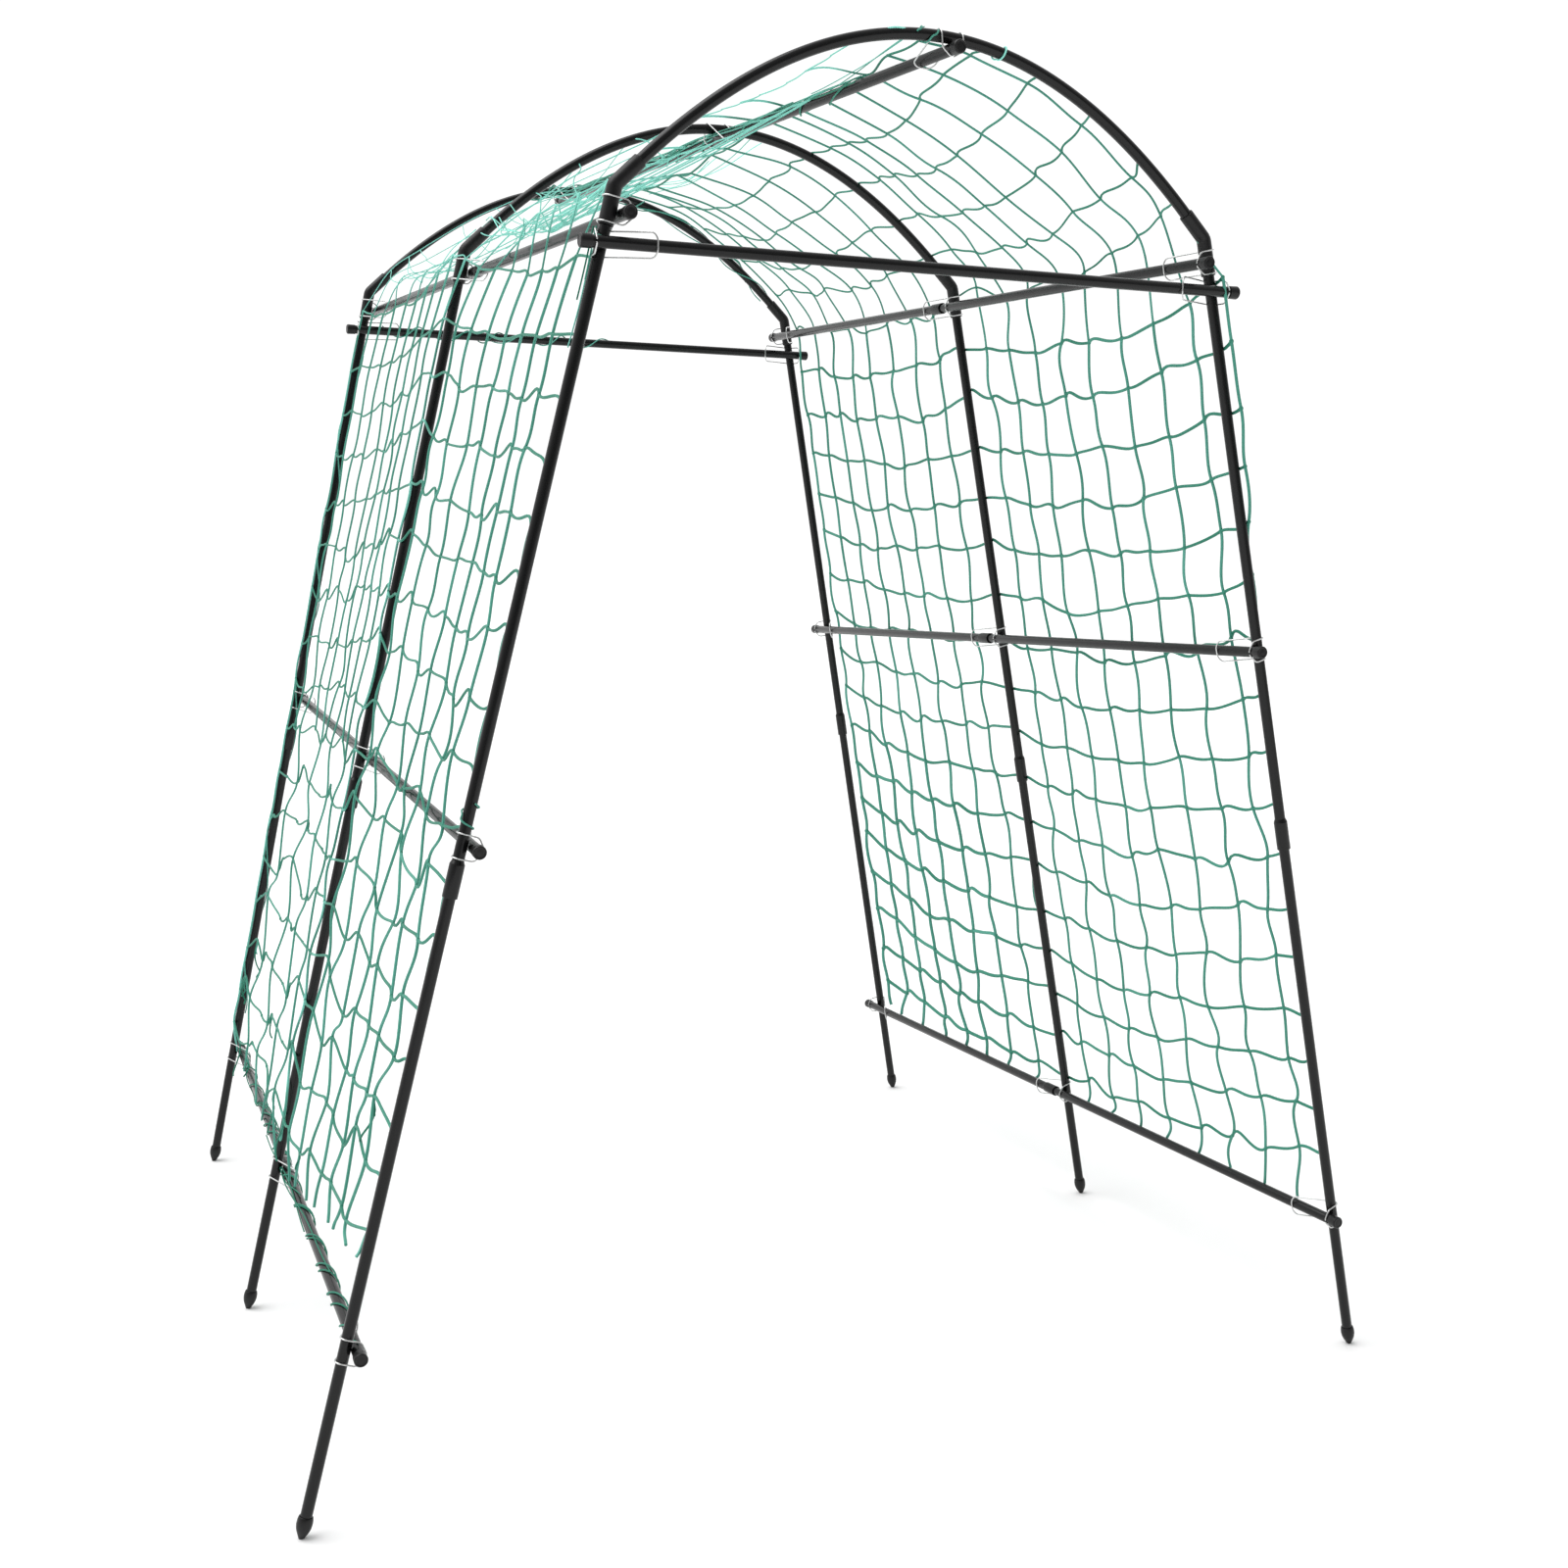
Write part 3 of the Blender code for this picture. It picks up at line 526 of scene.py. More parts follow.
def knot_lumps(centres: Array, normals: Array, ups: Array, sizes: Array, tones: Array) -> Surface:
    """Small lumps where strands are tied, each a squashed ball of four bands.

    A vertex is centre + size * (cos(b) (cos(a) side + sin(a) up) + squash sin(b) normal), for the
    angle a round the lump and the latitude b.

    Args:
        centres: Middles of the knots.
        normals: Unit vectors square to the net.
        ups: Unit vectors along the net's columns.
        sizes: Radius of each knot.
        tones: Shade of each knot, from 0 to 1.

    Returns:
        One surface with all the knots.
    """
    count = len(centres)
    across = np.cross(ups, normals)
    a = circle(KNOT_SIDES)
    b = math.pi * (np.arange(1, KNOT_RINGS + 1) / (KNOT_RINGS + 1) - 0.5)
    flat = np.cos(a)[:, None] * across[:, None] + np.sin(a)[:, None] * ups[:, None]
    raised = KNOT_SQUASH * np.sin(b)[None, :, None, None] * normals[:, None, None]
    rings = np.cos(b)[None, :, None, None] * flat[:, None] + raised
    poles = KNOT_SQUASH * np.stack([-normals, normals], axis=1)
    local = np.concatenate([rings.reshape(count, -1, 3), poles], axis=1)
    verts = centres[:, None] + sizes[:, None, None] * local
    per = KNOT_RINGS * KNOT_SIDES + 2
    base = (np.arange(count) * per)[:, None, None]
    quads, tris = capped_faces(KNOT_RINGS, KNOT_SIDES)
    all_quads = (base + quads).reshape(-1, 4)
    all_tris = (base + tris).reshape(-1, 3)
    return Surface(
        verts.reshape(-1, 3),
        all_quads,
        all_tris,
        np.zeros((len(all_quads), 4, 2)),
        np.zeros((len(all_tris), 3, 2)),
        np.repeat(tones, per),
    )


def placed(name: str, data: bpy.types.ID) -> bpy.types.Object:
    """Adds an object with some data to the scene."""
    made = bpy.data.objects.new(name, data)
    bpy.context.scene.collection.objects.link(made)
    return made


class Shading:
    """A material's node tree, with short ways to add and join nodes."""

    def __init__(self, name: str) -> None:
        """Starts a material with one Principled shader and the piece's two kinds of coordinates."""
        self.material = bpy.data.materials.new(name)
        self.material.use_nodes = True
        self.tree = self.material.node_tree
        self.shader = self.tree.nodes["Principled BSDF"]
        coordinates = self.node("ShaderNodeTexCoord")
        self.solid, self.skin = coordinates.outputs["Object"], coordinates.outputs["UV"]

    def node(self, kind: str, **values: object) -> bpy.types.Node:
        """Adds a node and sets its properties, or its inputs where a name is one of theirs.

        Args:
            kind: Blender's name for the kind of node.
            values: The properties and inputs to set.

        Returns:
            The new node.
        """
        made = self.tree.nodes.new(kind)
        for name, value in values.items():
            if hasattr(made, name):
                setattr(made, name, value)
            else:
                made.inputs[name.replace("_", " ").title()].default_value = value
        return made

    def join(self, source: Socket, target: Socket) -> None:
        """Links one socket to another."""
        self.tree.links.new(source, target)

    def constants(self, **values: object) -> None:
        """Sets numbers and colours on the Principled shader's own sockets."""
        for name, value in values.items():
            self.shader.inputs[name.replace("_", " ")].default_value = value

    def noise(self, source: Socket, scale: float, detail: float) -> Socket:
        """Fractal noise over the coordinates of a socket."""
        made = self.node("ShaderNodeTexNoise", scale=scale, detail=detail)
        self.join(source, made.inputs["Vector"])
        return made.outputs["Fac"]

    def stretched(self, source: Socket, scale: tuple) -> Socket:
        """Coordinates multiplied along each axis."""
        made = self.node("ShaderNodeMapping", scale=scale)
        self.join(source, made.inputs["Vector"])
        return made.outputs["Vector"]

    def ranged(self, source: Socket, low: float, high: float) -> Socket:
        """The values that noise mostly takes, spread over low to high."""
        least, most = NOISE_SPAN
        made = self.node("ShaderNodeMapRange", from_min=least, from_max=most, to_min=low, to_max=high)
        self.join(source, made.inputs["Value"])
        return made.outputs["Result"]

    def coloured(self, factor: Socket, dark: tuple, light: tuple) -> None:
        """Sets the shader's colour to two colours that are mixed by a factor.

        Args:
            factor: What mixes them.
            dark: Red, green and blue where the factor is 0.
            light: The same where it is 1.
        """
        made = self.node("ShaderNodeMix", data_type="RGBA")
        colours = [socket for socket in made.inputs if socket.type == "RGBA"]
        for socket, colour in zip(colours, (dark, light)):
            socket.default_value = (*colour, 1.0)
        self.join(factor, made.inputs["Factor"])
        mixed = next(socket for socket in made.outputs if socket.type == "RGBA")
        self.join(mixed, self.shader.inputs["Base Color"])

    def roughened(self, source: Socket, low: float, high: float) -> None:
        """Sets the shader's roughness to noise that is spread over low to high."""
        self.join(self.ranged(source, low, high), self.shader.inputs["Roughness"])

    def bump(self, height: Socket, strength: float, distance: float) -> None:
        """Raises the shader's surface by a height, over any bump it already has.

        Args:
            height: Where it is raised, from 0 to 1.
            strength: How strongly that shows.
            distance: Metres for a height of 1.
        """
        made = self.node("ShaderNodeBump", strength=strength, distance=distance)
        self.join(height, made.inputs["Height"])
        normal = self.shader.inputs["Normal"]
        if normal.is_linked:
            self.join(normal.links[0].from_socket, made.inputs["Normal"])
        self.join(made.outputs["Normal"], normal)


@dataclass(frozen=True)
class TubeCoat:
    """Satin charcoal plastic drawn over a steel tube, with fine streaks along it."""

    dark: tuple = (0.0028, 0.0029, 0.0031)
    light: tuple = (0.0062, 0.0064, 0.0068)
    smoothest: float = 0.17
    roughest: float = 0.27
    patch_scale: float = 9.0
    streak_scales: tuple = (520.0, 14.0, 1.0)
    grain_scale: float = 1500.0
    refraction: float = 1.37

    def build(self) -> bpy.types.Material:
        """Joins the nodes of the finish.

        Returns:
            The finished material.
        """
        made = Shading("tube_coat")
        patches = made.noise(made.solid, self.patch_scale, detail=4.0)
        streaks = made.noise(made.stretched(made.skin, self.streak_scales), 1.0, detail=3.0)
        grain = made.noise(made.solid, self.grain_scale, detail=2.0)
        made.coloured(patches, self.dark, self.light)
        made.roughened(streaks, self.smoothest, self.roughest)
        made.bump(streaks, strength=0.06, distance=0.00025)
        made.bump(grain, strength=0.10, distance=0.00010)
        made.constants(IOR=self.refraction)
        return made.material


@dataclass(frozen=True)
class Moulding:
    """Black injection-moulded plastic with a fine matt grain."""

    dark: tuple = (0.0035, 0.0035, 0.0038)
    light: tuple = (0.0075, 0.0075, 0.0080)
    smoothest: float = 0.30
    roughest: float = 0.44
    patch_scale: float = 60.0
    grain_scale: float = 2200.0
    refraction: float = 1.38

    def build(self) -> bpy.types.Material:
        """Joins the nodes of the finish.

        Returns:
            The finished material.
        """
        made = Shading("moulding")
        patches = made.noise(made.solid, self.patch_scale, detail=4.0)
        grain = made.noise(made.solid, self.grain_scale, detail=2.0)
        made.coloured(patches, self.dark, self.light)
        made.roughened(patches, self.smoothest, self.roughest)
        made.bump(grain, strength=0.35, distance=0.00015)
        made.constants(IOR=self.refraction)
        return made.material


@dataclass(frozen=True)
class PlatedWire:
    """Bright plated spring wire with faint drawing lines."""

    dark: tuple = (0.42, 0.43, 0.43)
    light: tuple = (0.78, 0.78, 0.77)
    smoothest: float = 0.18
    roughest: float = 0.36
    line_scales: tuple = (2600.0, 60.0, 1.0)
    cloud_scale: float = 260.0

    def build(self) -> bpy.types.Material:
        """Joins the nodes of the finish.

        Returns:
            The finished material.
        """
        made = Shading("plated_wire")
        lines = made.noise(made.stretched(made.skin, self.line_scales), 1.0, detail=2.0)
        clouds = made.noise(made.solid, self.cloud_scale, detail=3.0)
        made.coloured(clouds, self.dark, self.light)
        made.roughened(lines, self.smoothest, self.roughest)
        made.bump(lines, strength=0.08, distance=0.0001)
        made.constants(Metallic=1.0)
        return made.material


@dataclass(frozen=True)
class KnottedTwine:
    """Green polymer twine of two plies, with some strands paler than others; paler tones also paint in the
    light that comes through the twine and highlights where it lies on the hoops.
    """

    deep: tuple = (0.010, 0.172, 0.106)
    # The colour at tone 1: the paler strands, and also the painted light through the twine and painted
    # highlights on the hoops.
    pale: tuple = (0.320, 0.880, 0.750)
    plies: float = 2.0
    twist_pitch: float = 0.0035
    band_scale: float = 0.318
    fibre_scale: float = 900.0
    smoothest: float = 0.45
    roughest: float = 0.67
    specular: float = 0.25

    def build(self) -> bpy.types.Material:
        """Joins the nodes of the finish: diagonal plies over the strand's UVs, and its tone attribute.

        Returns:
            The finished material.
        """
        made = Shading("knotted_twine")
        tone = made.node("ShaderNodeAttribute", attribute_name="tone")
        wound_uv = made.stretched(made.skin, (self.plies, 1.0 / self.twist_pitch, 1.0))
        bands = made.node("ShaderNodeTexWave", scale=self.band_scale, distortion=0.0, detail=0.0)
        bands.wave_type = "BANDS"
        bands.bands_direction = "DIAGONAL"
        made.join(wound_uv, bands.inputs["Vector"])
        fibres = made.noise(made.solid, self.fibre_scale, detail=3.0)
        made.coloured(tone.outputs["Fac"], self.deep, self.pale)
        made.roughened(fibres, self.smoothest, self.roughest)
        made.bump(bands.outputs["Fac"], strength=0.45, distance=0.0004)
        made.bump(fibres, strength=0.25, distance=0.0002)
        made.constants(Specular_IOR_Level=self.specular)
        return made.material


@dataclass(frozen=True)
class PaleFloor:
    """Smooth near-white studio floor with very faint clouds."""

    colour: tuple = (0.93, 0.93, 0.93)
    darkest: float = 0.985
    cloud_scale: float = 0.6
    roughness: float = 0.85

    def build(self) -> bpy.types.Material:
        """Joins the nodes of the finish.

        Returns:
            The finished material.
        """
        made = Shading("pale_floor")
        clouds = made.noise(made.solid, self.cloud_scale, detail=2.0)
        made.coloured(clouds, tuple(self.darkest * c for c in self.colour), self.colour)
        made.constants(Roughness=self.roughness)
        return made.material


@dataclass
class Workshop:
    """Turns surfaces into finished pieces of the trellis."""

    finishes: dict[Slot, bpy.types.Material] = field(default_factory=dict)

    def mix_finishes(self) -> None:
        """Makes the four materials of the trellis."""
        self.finishes = {
            Slot.TUBE: TubeCoat().build(),
            Slot.PLASTIC: Moulding().build(),
            Slot.WIRE: PlatedWire().build(),
            Slot.TWINE: KnottedTwine().build(),
        }

    def mesh(self, name: str, surface: Surface) -> bpy.types.Mesh:
        """A smooth-shaded Blender mesh from a surface's arrays.

        Args:
            name: The mesh's name.
            surface: The arrays.

        Returns:
            The mesh, with its UV map and its tone attribute.
        """
        mesh = bpy.data.meshes.new(name)
        corners = np.concatenate([surface.quads.ravel(), surface.tris.ravel()])
        totals = np.concatenate([np.full(len(surface.quads), 4), np.full(len(surface.tris), 3)])
        starts = np.concatenate([[0], np.cumsum(totals)[:-1]])
        mesh.vertices.add(len(surface.verts))
        mesh.vertices.foreach_set("co", surface.verts.ravel())
        mesh.loops.add(len(corners))
        mesh.loops.foreach_set("vertex_index", corners)
        mesh.polygons.add(len(totals))
        mesh.polygons.foreach_set("loop_start", starts)
        mesh.polygons.foreach_set("loop_total", totals)
        mesh.update(calc_edges=True)
        layer = mesh.uv_layers.new(name="UVMap")
        layer.data.foreach_set("uv", np.concatenate([surface.quad_uv.ravel(), surface.tri_uv.ravel()]))
        shade = mesh.attributes.new("tone", "FLOAT", "POINT")
        shade.data.foreach_set("value", surface.tone)
        mesh.validate()
        mesh.shade_smooth()
        mesh.set_sharp_from_angle(angle=SHARP_FROM)
        return mesh

    def piece(self, name: str, surface: Surface, slot: Slot, *nodes: str) -> bpy.types.Object:
        """Adds one finished piece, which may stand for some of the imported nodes.

        Args:
            name: The piece's name.
            surface: Its shape, already in place.
            slot: The record's material slot, which also names its finish.
            nodes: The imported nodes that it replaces.

        Returns:
            The new object.
        """
        mesh = self.mesh(name, surface)
        mesh.materials.append(self.finishes[slot])
        made = placed(name, mesh)
        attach(made, "root")
        if nodes:
            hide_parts(*nodes)
        LOG.info("%s: %d vertices", name, len(surface.verts))
        return made


@dataclass(frozen=True)
class Hoop:
    """One hoop: two legs in two lengths, two elbows and an arch."""

    sizes: TrellisSizes
    station: Station
    tip_lip: float = 0.0028
    tip_length: float = 0.030
    bell_length: float = 0.044
    bell_taper: float = 0.005
    bell_grip: float = 0.038
    elbow_stop: float = 0.014
    elbow_bend_radius: float = 0.013
    recess: float = 0.004
    edge: float = 0.0008
    edge_steps: int = 4
    arch_points: int = 240
    arch_step: float = 0.008
    bend_points: int = 15
    elbow_step: float = 0.003
    stake_start: float = 0.02
    tip_overcut: float = 0.004
    tip_point_radius: float = 0.0015
    tip_profile: tuple = ((0.13, 0.52), (0.40, 0.88), (0.64, 1.0), (0.86, 0.97))
    tip_seat: float = 0.002
    tip_ease: float = 0.0035
    tip_steps: int = 5

    @property
    def y(self) -> float:
        """Y of the hoop's plane."""
        return self.sizes.hoop_y(self.station)

    @property
    def label(self) -> str:
        """The hoop's name."""
        return self.station.name.lower()

    @property
    def mouth(self) -> list[list[float]]:
        """Corners of a socket's mouth, as (distance along, radius), from the axis to the outside."""
        bore, outside = self.sizes.socket_radius, self.sizes.sleeve_radius
        return [[self.recess, 0], [self.recess, bore], [0, bore], [0, outside]]

    def arch_line(self) -> SampledLine:
        """The arch's centreline from its left end to its right end."""
        s = self.sizes
        end = s.eave_half_width - (self.elbow_stop + s.end_gap) * math.cos(s.arch_end_angle)
        x = np.linspace(-end, end, self.arch_points)
        return SampledLine(stacked(x, self.y, s.arch_height(x)))

    def arch(self) -> Surface:
        """Bent tube of one radius from end to end."""
        line = self.arch_line()
        radius = self.sizes.tube_radius
        profile = np.array([[0, 0], [0, radius], [line.length, radius], [line.length, 0]])
        return turned(line, closer(profile, self.arch_step), ALONG_Y)

    def elbow_line(self, side: Side) -> SampledLine:
        """The elbow's centreline: a leg arm, an arc of one radius, and an arch arm.

        Args:
            side: Its side of the walkway.

        Returns:
            The line, from the lower mouth to the upper one.
        """
        s = self.sizes
        bend = s.leg_point(side.value, self.y, s.bend_height)
        down = -s.leg_up(side.value, self.y)
        over = np.array([-side.value * math.cos(s.arch_end_angle), 0.0, math.sin(s.arch_end_angle)])
        turn = math.pi - math.acos(float(down @ over))
        inward = unit(down + over)
        pivot = inward * (self.elbow_bend_radius / math.cos(turn / 2))
        sideways = unit(over - down)
        swing = np.linspace(-turn / 2, turn / 2, self.bend_points)[:, None]
        arc = pivot + self.elbow_bend_radius * (-np.cos(swing) * inward + np.sin(swing) * sideways)
        return SampledLine(bend + np.concatenate([[down * s.elbow_leg_arm], arc, [over * s.elbow_arch_arm]]))

    def elbow(self, side: Side) -> Surface:
        """Moulded elbow with a rounded edge at each mouth, and the socket's wall seen just inside it.

        Args:
            side: Its side of the walkway.

        Returns:
            The closed surface.
        """
        line = self.elbow_line(side)
        lower = np.array(self.mouth)
        upper = lower[::-1] * [-1, 1] + [line.length, 0]
        corners = np.concatenate([lower, upper])
        profile = closer(eased(corners, self.edge, self.edge_steps), self.elbow_step)
        return turned(line, profile, ALONG_Y)

    def lower_leg(self, side: Side) -> tuple[Surface, Surface]:
        """Lower stake and its moulded point, which is cut level with the ground.

        Args:
            side: Its side of the walkway.

        Returns:
            The two closed surfaces.
        """
        s = self.sizes
        up = s.leg_up(side.value, self.y)
        line = StraightLine(s.leg_point(side.value, self.y, 0.0), up)
        top = s.coupling_height / up[2] - self.bell_length / 2 + self.bell_grip
        start = self.stake_start
        tube = np.array([[start, 0], [start, s.tube_radius], [top, s.tube_radius], [top, 0]])
        tip, long = s.tube_radius + self.tip_lip, self.tip_length
        corners = np.array([
            [-self.tip_overcut, 0],
            [-self.tip_overcut, self.tip_point_radius],
            *(np.array(self.tip_profile) * [long, tip]),
            [long, 0.5 * (tip + s.tube_radius)],
            [long, s.socket_radius],
            [long - self.tip_seat, s.socket_radius],
            [long - self.tip_seat, 0],
        ])
        point = turned(line, eased(corners, self.tip_ease, self.tip_steps), ALONG_Y)
        return turned(line, tube, ALONG_Y), point.flattened(0.0)

    def upper_leg(self, side: Side) -> Surface:
        """Upper stake, whose lower end is belled over the lower stake.

        Args:
            side: Its side of the walkway.

        Returns:
            The closed surface.
        """
        s = self.sizes
        up = s.leg_up(side.value, self.y)
        mouth = s.leg_point(side.value, self.y, s.coupling_height) - up * (self.bell_length / 2)
        top = (s.bend_height - s.coupling_height) / up[2] + self.bell_length / 2
        top -= self.elbow_stop + s.end_gap
        corners = np.array([
            *self.mouth,
            [self.bell_length, s.sleeve_radius],
            [self.bell_length + self.bell_taper, s.tube_radius],
            [top, s.tube_radius],
            [top, 0],
        ])
        return turned(StraightLine(mouth, up), eased(corners, self.edge, self.edge_steps), ALONG_Y)

    def build(self, shop: Workshop) -> None:
        """Makes every piece of the hoop.

        Args:
            shop: What makes the pieces.
        """
        shop.piece(f"{self.label}_arch_tube", self.arch(), Slot.TUBE, f"{self.label}_arch")
        for side in Side:
            name = f"{self.label}_{side.name.lower()}"
            tube, point = self.lower_leg(side)
            shop.piece(f"{name}_lower_stake", tube, Slot.TUBE, f"{name}_lower_leg")
            shop.piece(f"{name}_foot_point", point, Slot.PLASTIC)
            shop.piece(f"{name}_upper_stake", self.upper_leg(side), Slot.TUBE, f"{name}_upper_leg")
            shop.piece(f"{name}_elbow_moulding", self.elbow(side), Slot.PLASTIC, f"{name}_elbow")


@dataclass(frozen=True)
class Tie:
    """A rail or crossbar: a capped tube that may have a push-fit joint in its middle."""

    sizes: TrellisSizes
    name: str
    middle: Array
    direction: Array
    length: float
    has_joint: bool
    cap_lip: float = 0.0013
    cap_length: float = 0.016
    joint_lip: float = 0.0016
    joint_length: float = 0.032
    joint_taper: float = 0.004
    neck_step: float = 0.0008
    neck_span: float = 0.011
    rim_length: float = 0.003
    rim_height: float = 0.0004
    tube_inset: float = 0.003
    cap_seat: float = 0.002
    cap_play: float = 0.0002
    cap_draft: float = 0.0004
    face_profile: tuple = (
        *((0.0022, 0.0), (0.0004, 0.0012), (0.0004, 0.0024)),
        *((0.0010, 0.0030), (0.0010, 0.0050)),
    )
    face_dip: float = 0.0007
    face_dip_radius: float = 0.0012
    edge: float = 0.0006
    edge_steps: int = 4

    def tube(self) -> Surface:
        """The tube, with the joint's neck and bell where it has one.

        Returns:
            The closed surface.
        """
        r = self.sizes.tube_radius
        half = self.length / 2 - self.tube_inset
        ends = ([[-half, 0], [-half, r]], [[half, r], [half, 0]])
        joint: list[list[float]] = []
        if self.has_joint:
            bell, neck, span = r + self.joint_lip, r - self.neck_step, self.neck_span
            inside, raised, stop = span + self.rim_length, neck + self.rim_height, span + self.joint_length
            joint = [
                [-span - self.neck_step, r],
                [-span, neck],
                [inside, neck],
                [inside, raised],
                [span, raised],
                [span, bell],
                [stop, bell],
                [stop + self.joint_taper, r],
            ]
        corners = np.array([*ends[0], *joint, *ends[1]])
        return self.round(corners, 1)

    def round(self, corners: Array, end: int) -> Surface:
        """A profile turned about the bar towards one of its ends, with its corners rounded."""
        line = StraightLine(self.middle, self.direction * end)
        level = unit(np.cross(self.direction, ALONG_Z))
        return turned(line, eased(corners, self.edge, self.edge_steps), level)

    def cap(self, end: int) -> Surface:
        """Moulded end cap: a cup whose face has a shallow dish inside its rounded rim.

        Args:
            end: -1 for the bar's start and 1 for its end.

        Returns:
            The closed surface.
        """
        r = self.sizes.tube_radius + self.cap_lip
        outer = self.length / 2
        mouth = outer - self.cap_length
        inner = self.sizes.tube_radius + self.cap_play
        corners = np.array([
            [mouth + self.cap_seat, 0],
            [mouth + self.cap_seat, inner],
            [mouth, inner],
            [mouth, r - self.cap_draft],
            *([outer, r] - np.array(self.face_profile)),
            [outer - self.face_dip, self.face_dip_radius],
            [outer - self.face_dip, 0],
        ])
        return self.round(corners, end)

    def build(self, shop: Workshop) -> None:
        """Makes the tube and its two caps."""
        shop.piece(f"{self.name}_tube", self.tube(), Slot.TUBE, self.name)
        for end, label in ((-1, "start"), (1, "end")):
            shop.piece(f"{self.name}_{label}_cap", self.cap(end), Slot.PLASTIC)


@dataclass(frozen=True)
class WireClip:
    """Spring-wire clip that ties a bar to a post: a loop over the bar, and two hooks round the post."""

    sizes: TrellisSizes
    name: str
    bar_point: Array
    bar_direction: Array
    post_point: Array
    post_direction: Array
    post_radius: float
    wire_radius: float = 0.0011
    reach: float = 0.066
    kink: float = 0.004
    hook_gap: float = 0.0041
    hook_angle: float = math.radians(75)
    wrap_steps: int = 3
    bend_reach: float = 0.0045
    bend_steps: int = 7
    sides: int = 10

    def axes(self) -> tuple[Array, Array]:
        """The clip's origin, and its unit axes as rows: along the bar, across it, and to the post."""
        along = unit(self.bar_direction)
        toward = unit(np.cross(self.post_direction, along))
        toward = toward * np.sign(toward @ (self.post_point - self.bar_point))
        origin = self.bar_point + along * ((self.post_point - self.bar_point) @ along)
        x = unit(along - toward * (along @ toward))
        return origin, np.stack([x, np.cross(toward, x), toward])

    def arm(self, lean: float, axis_gap: float, sign: int) -> Array:
        """Corners of one arm from the closed end to the tip of its hook, in the clip's axes.

        Args:
            lean: How far the post goes along the bar for each step across it.
            axis_gap: Distance from the bar's axis to the post's.
            sign: -1 or 1, for the arm on either side of the bar.

        Returns:
            The corners, in order.
        """
        s = self.sizes
        stand = self.wire_radius + s.push_fit
        front = -(s.tube_radius + stand)
        spread = sign * (s.tube_radius + s.clip_standoff)
        grip = self.post_radius * math.hypot(1, lean) + stand + self.wire_radius * abs(lean)
        middle = lean * spread
        corner = np.array([self.reach - self.kink, spread, front + self.kink])
        hook = np.array([-(self.post_radius + self.hook_gap + stand), spread, 0.0])

        def bearing(point: Array) -> tuple[float, float]:
            """Direction from the post to a point, and the angle from there to where its tangent touches."""
            u, n = point[0] - middle, point[2] - axis_gap
            return math.atan2(n, u), math.acos(grip / math.hypot(u, n))

        toward, opening = bearing(corner)
        away, closing = bearing(hook)
        begin, end = toward + opening, away + WHOLE_TURN - closing
        step = (end - begin) / self.wrap_steps
        turn = begin + (np.arange(self.wrap_steps) + 0.5) * step
        far = grip / math.cos(step / 2)
        wraps = stacked(middle + far * np.cos(turn), spread, axis_gap + far * np.sin(turn))
        start = math.acos(-front / abs(spread))
        bend = (start + self.hook_angle) / 2
        over = -front / math.cos((self.hook_angle - start) / 2)
        return np.array([
            [self.reach, sign * s.tube_radius, front],
            corner,
            *wraps,
            hook,
            [hook[0], sign * over * math.cos(bend), -over * math.sin(bend)],
            [hook[0], -sign * front * math.cos(self.hook_angle), front * math.sin(self.hook_angle)],
        ])

    def wire(self) -> Surface:
        """The whole wire: one arm, the loop over the bar, and the other arm.

        Returns:
            The closed surface.
        """
        origin, axes = self.axes()
        local = axes @ self.post_direction
        offset = axes @ (self.post_point - origin)
        lean, gap = local[0] / local[1], offset[2]
        corners = np.concatenate([self.arm(lean, gap, 1)[::-1], self.arm(lean, gap, -1)])
        path = origin + eased(corners, self.bend_reach, self.bend_steps) @ axes
        return wire_solid(path, axes[0], self.wire_radius, self.sides)

    def build(self, shop: Workshop) -> None:
        """Makes the clip."""
        shop.piece(f"{self.name}_wire", self.wire(), Slot.WIRE, self.name)


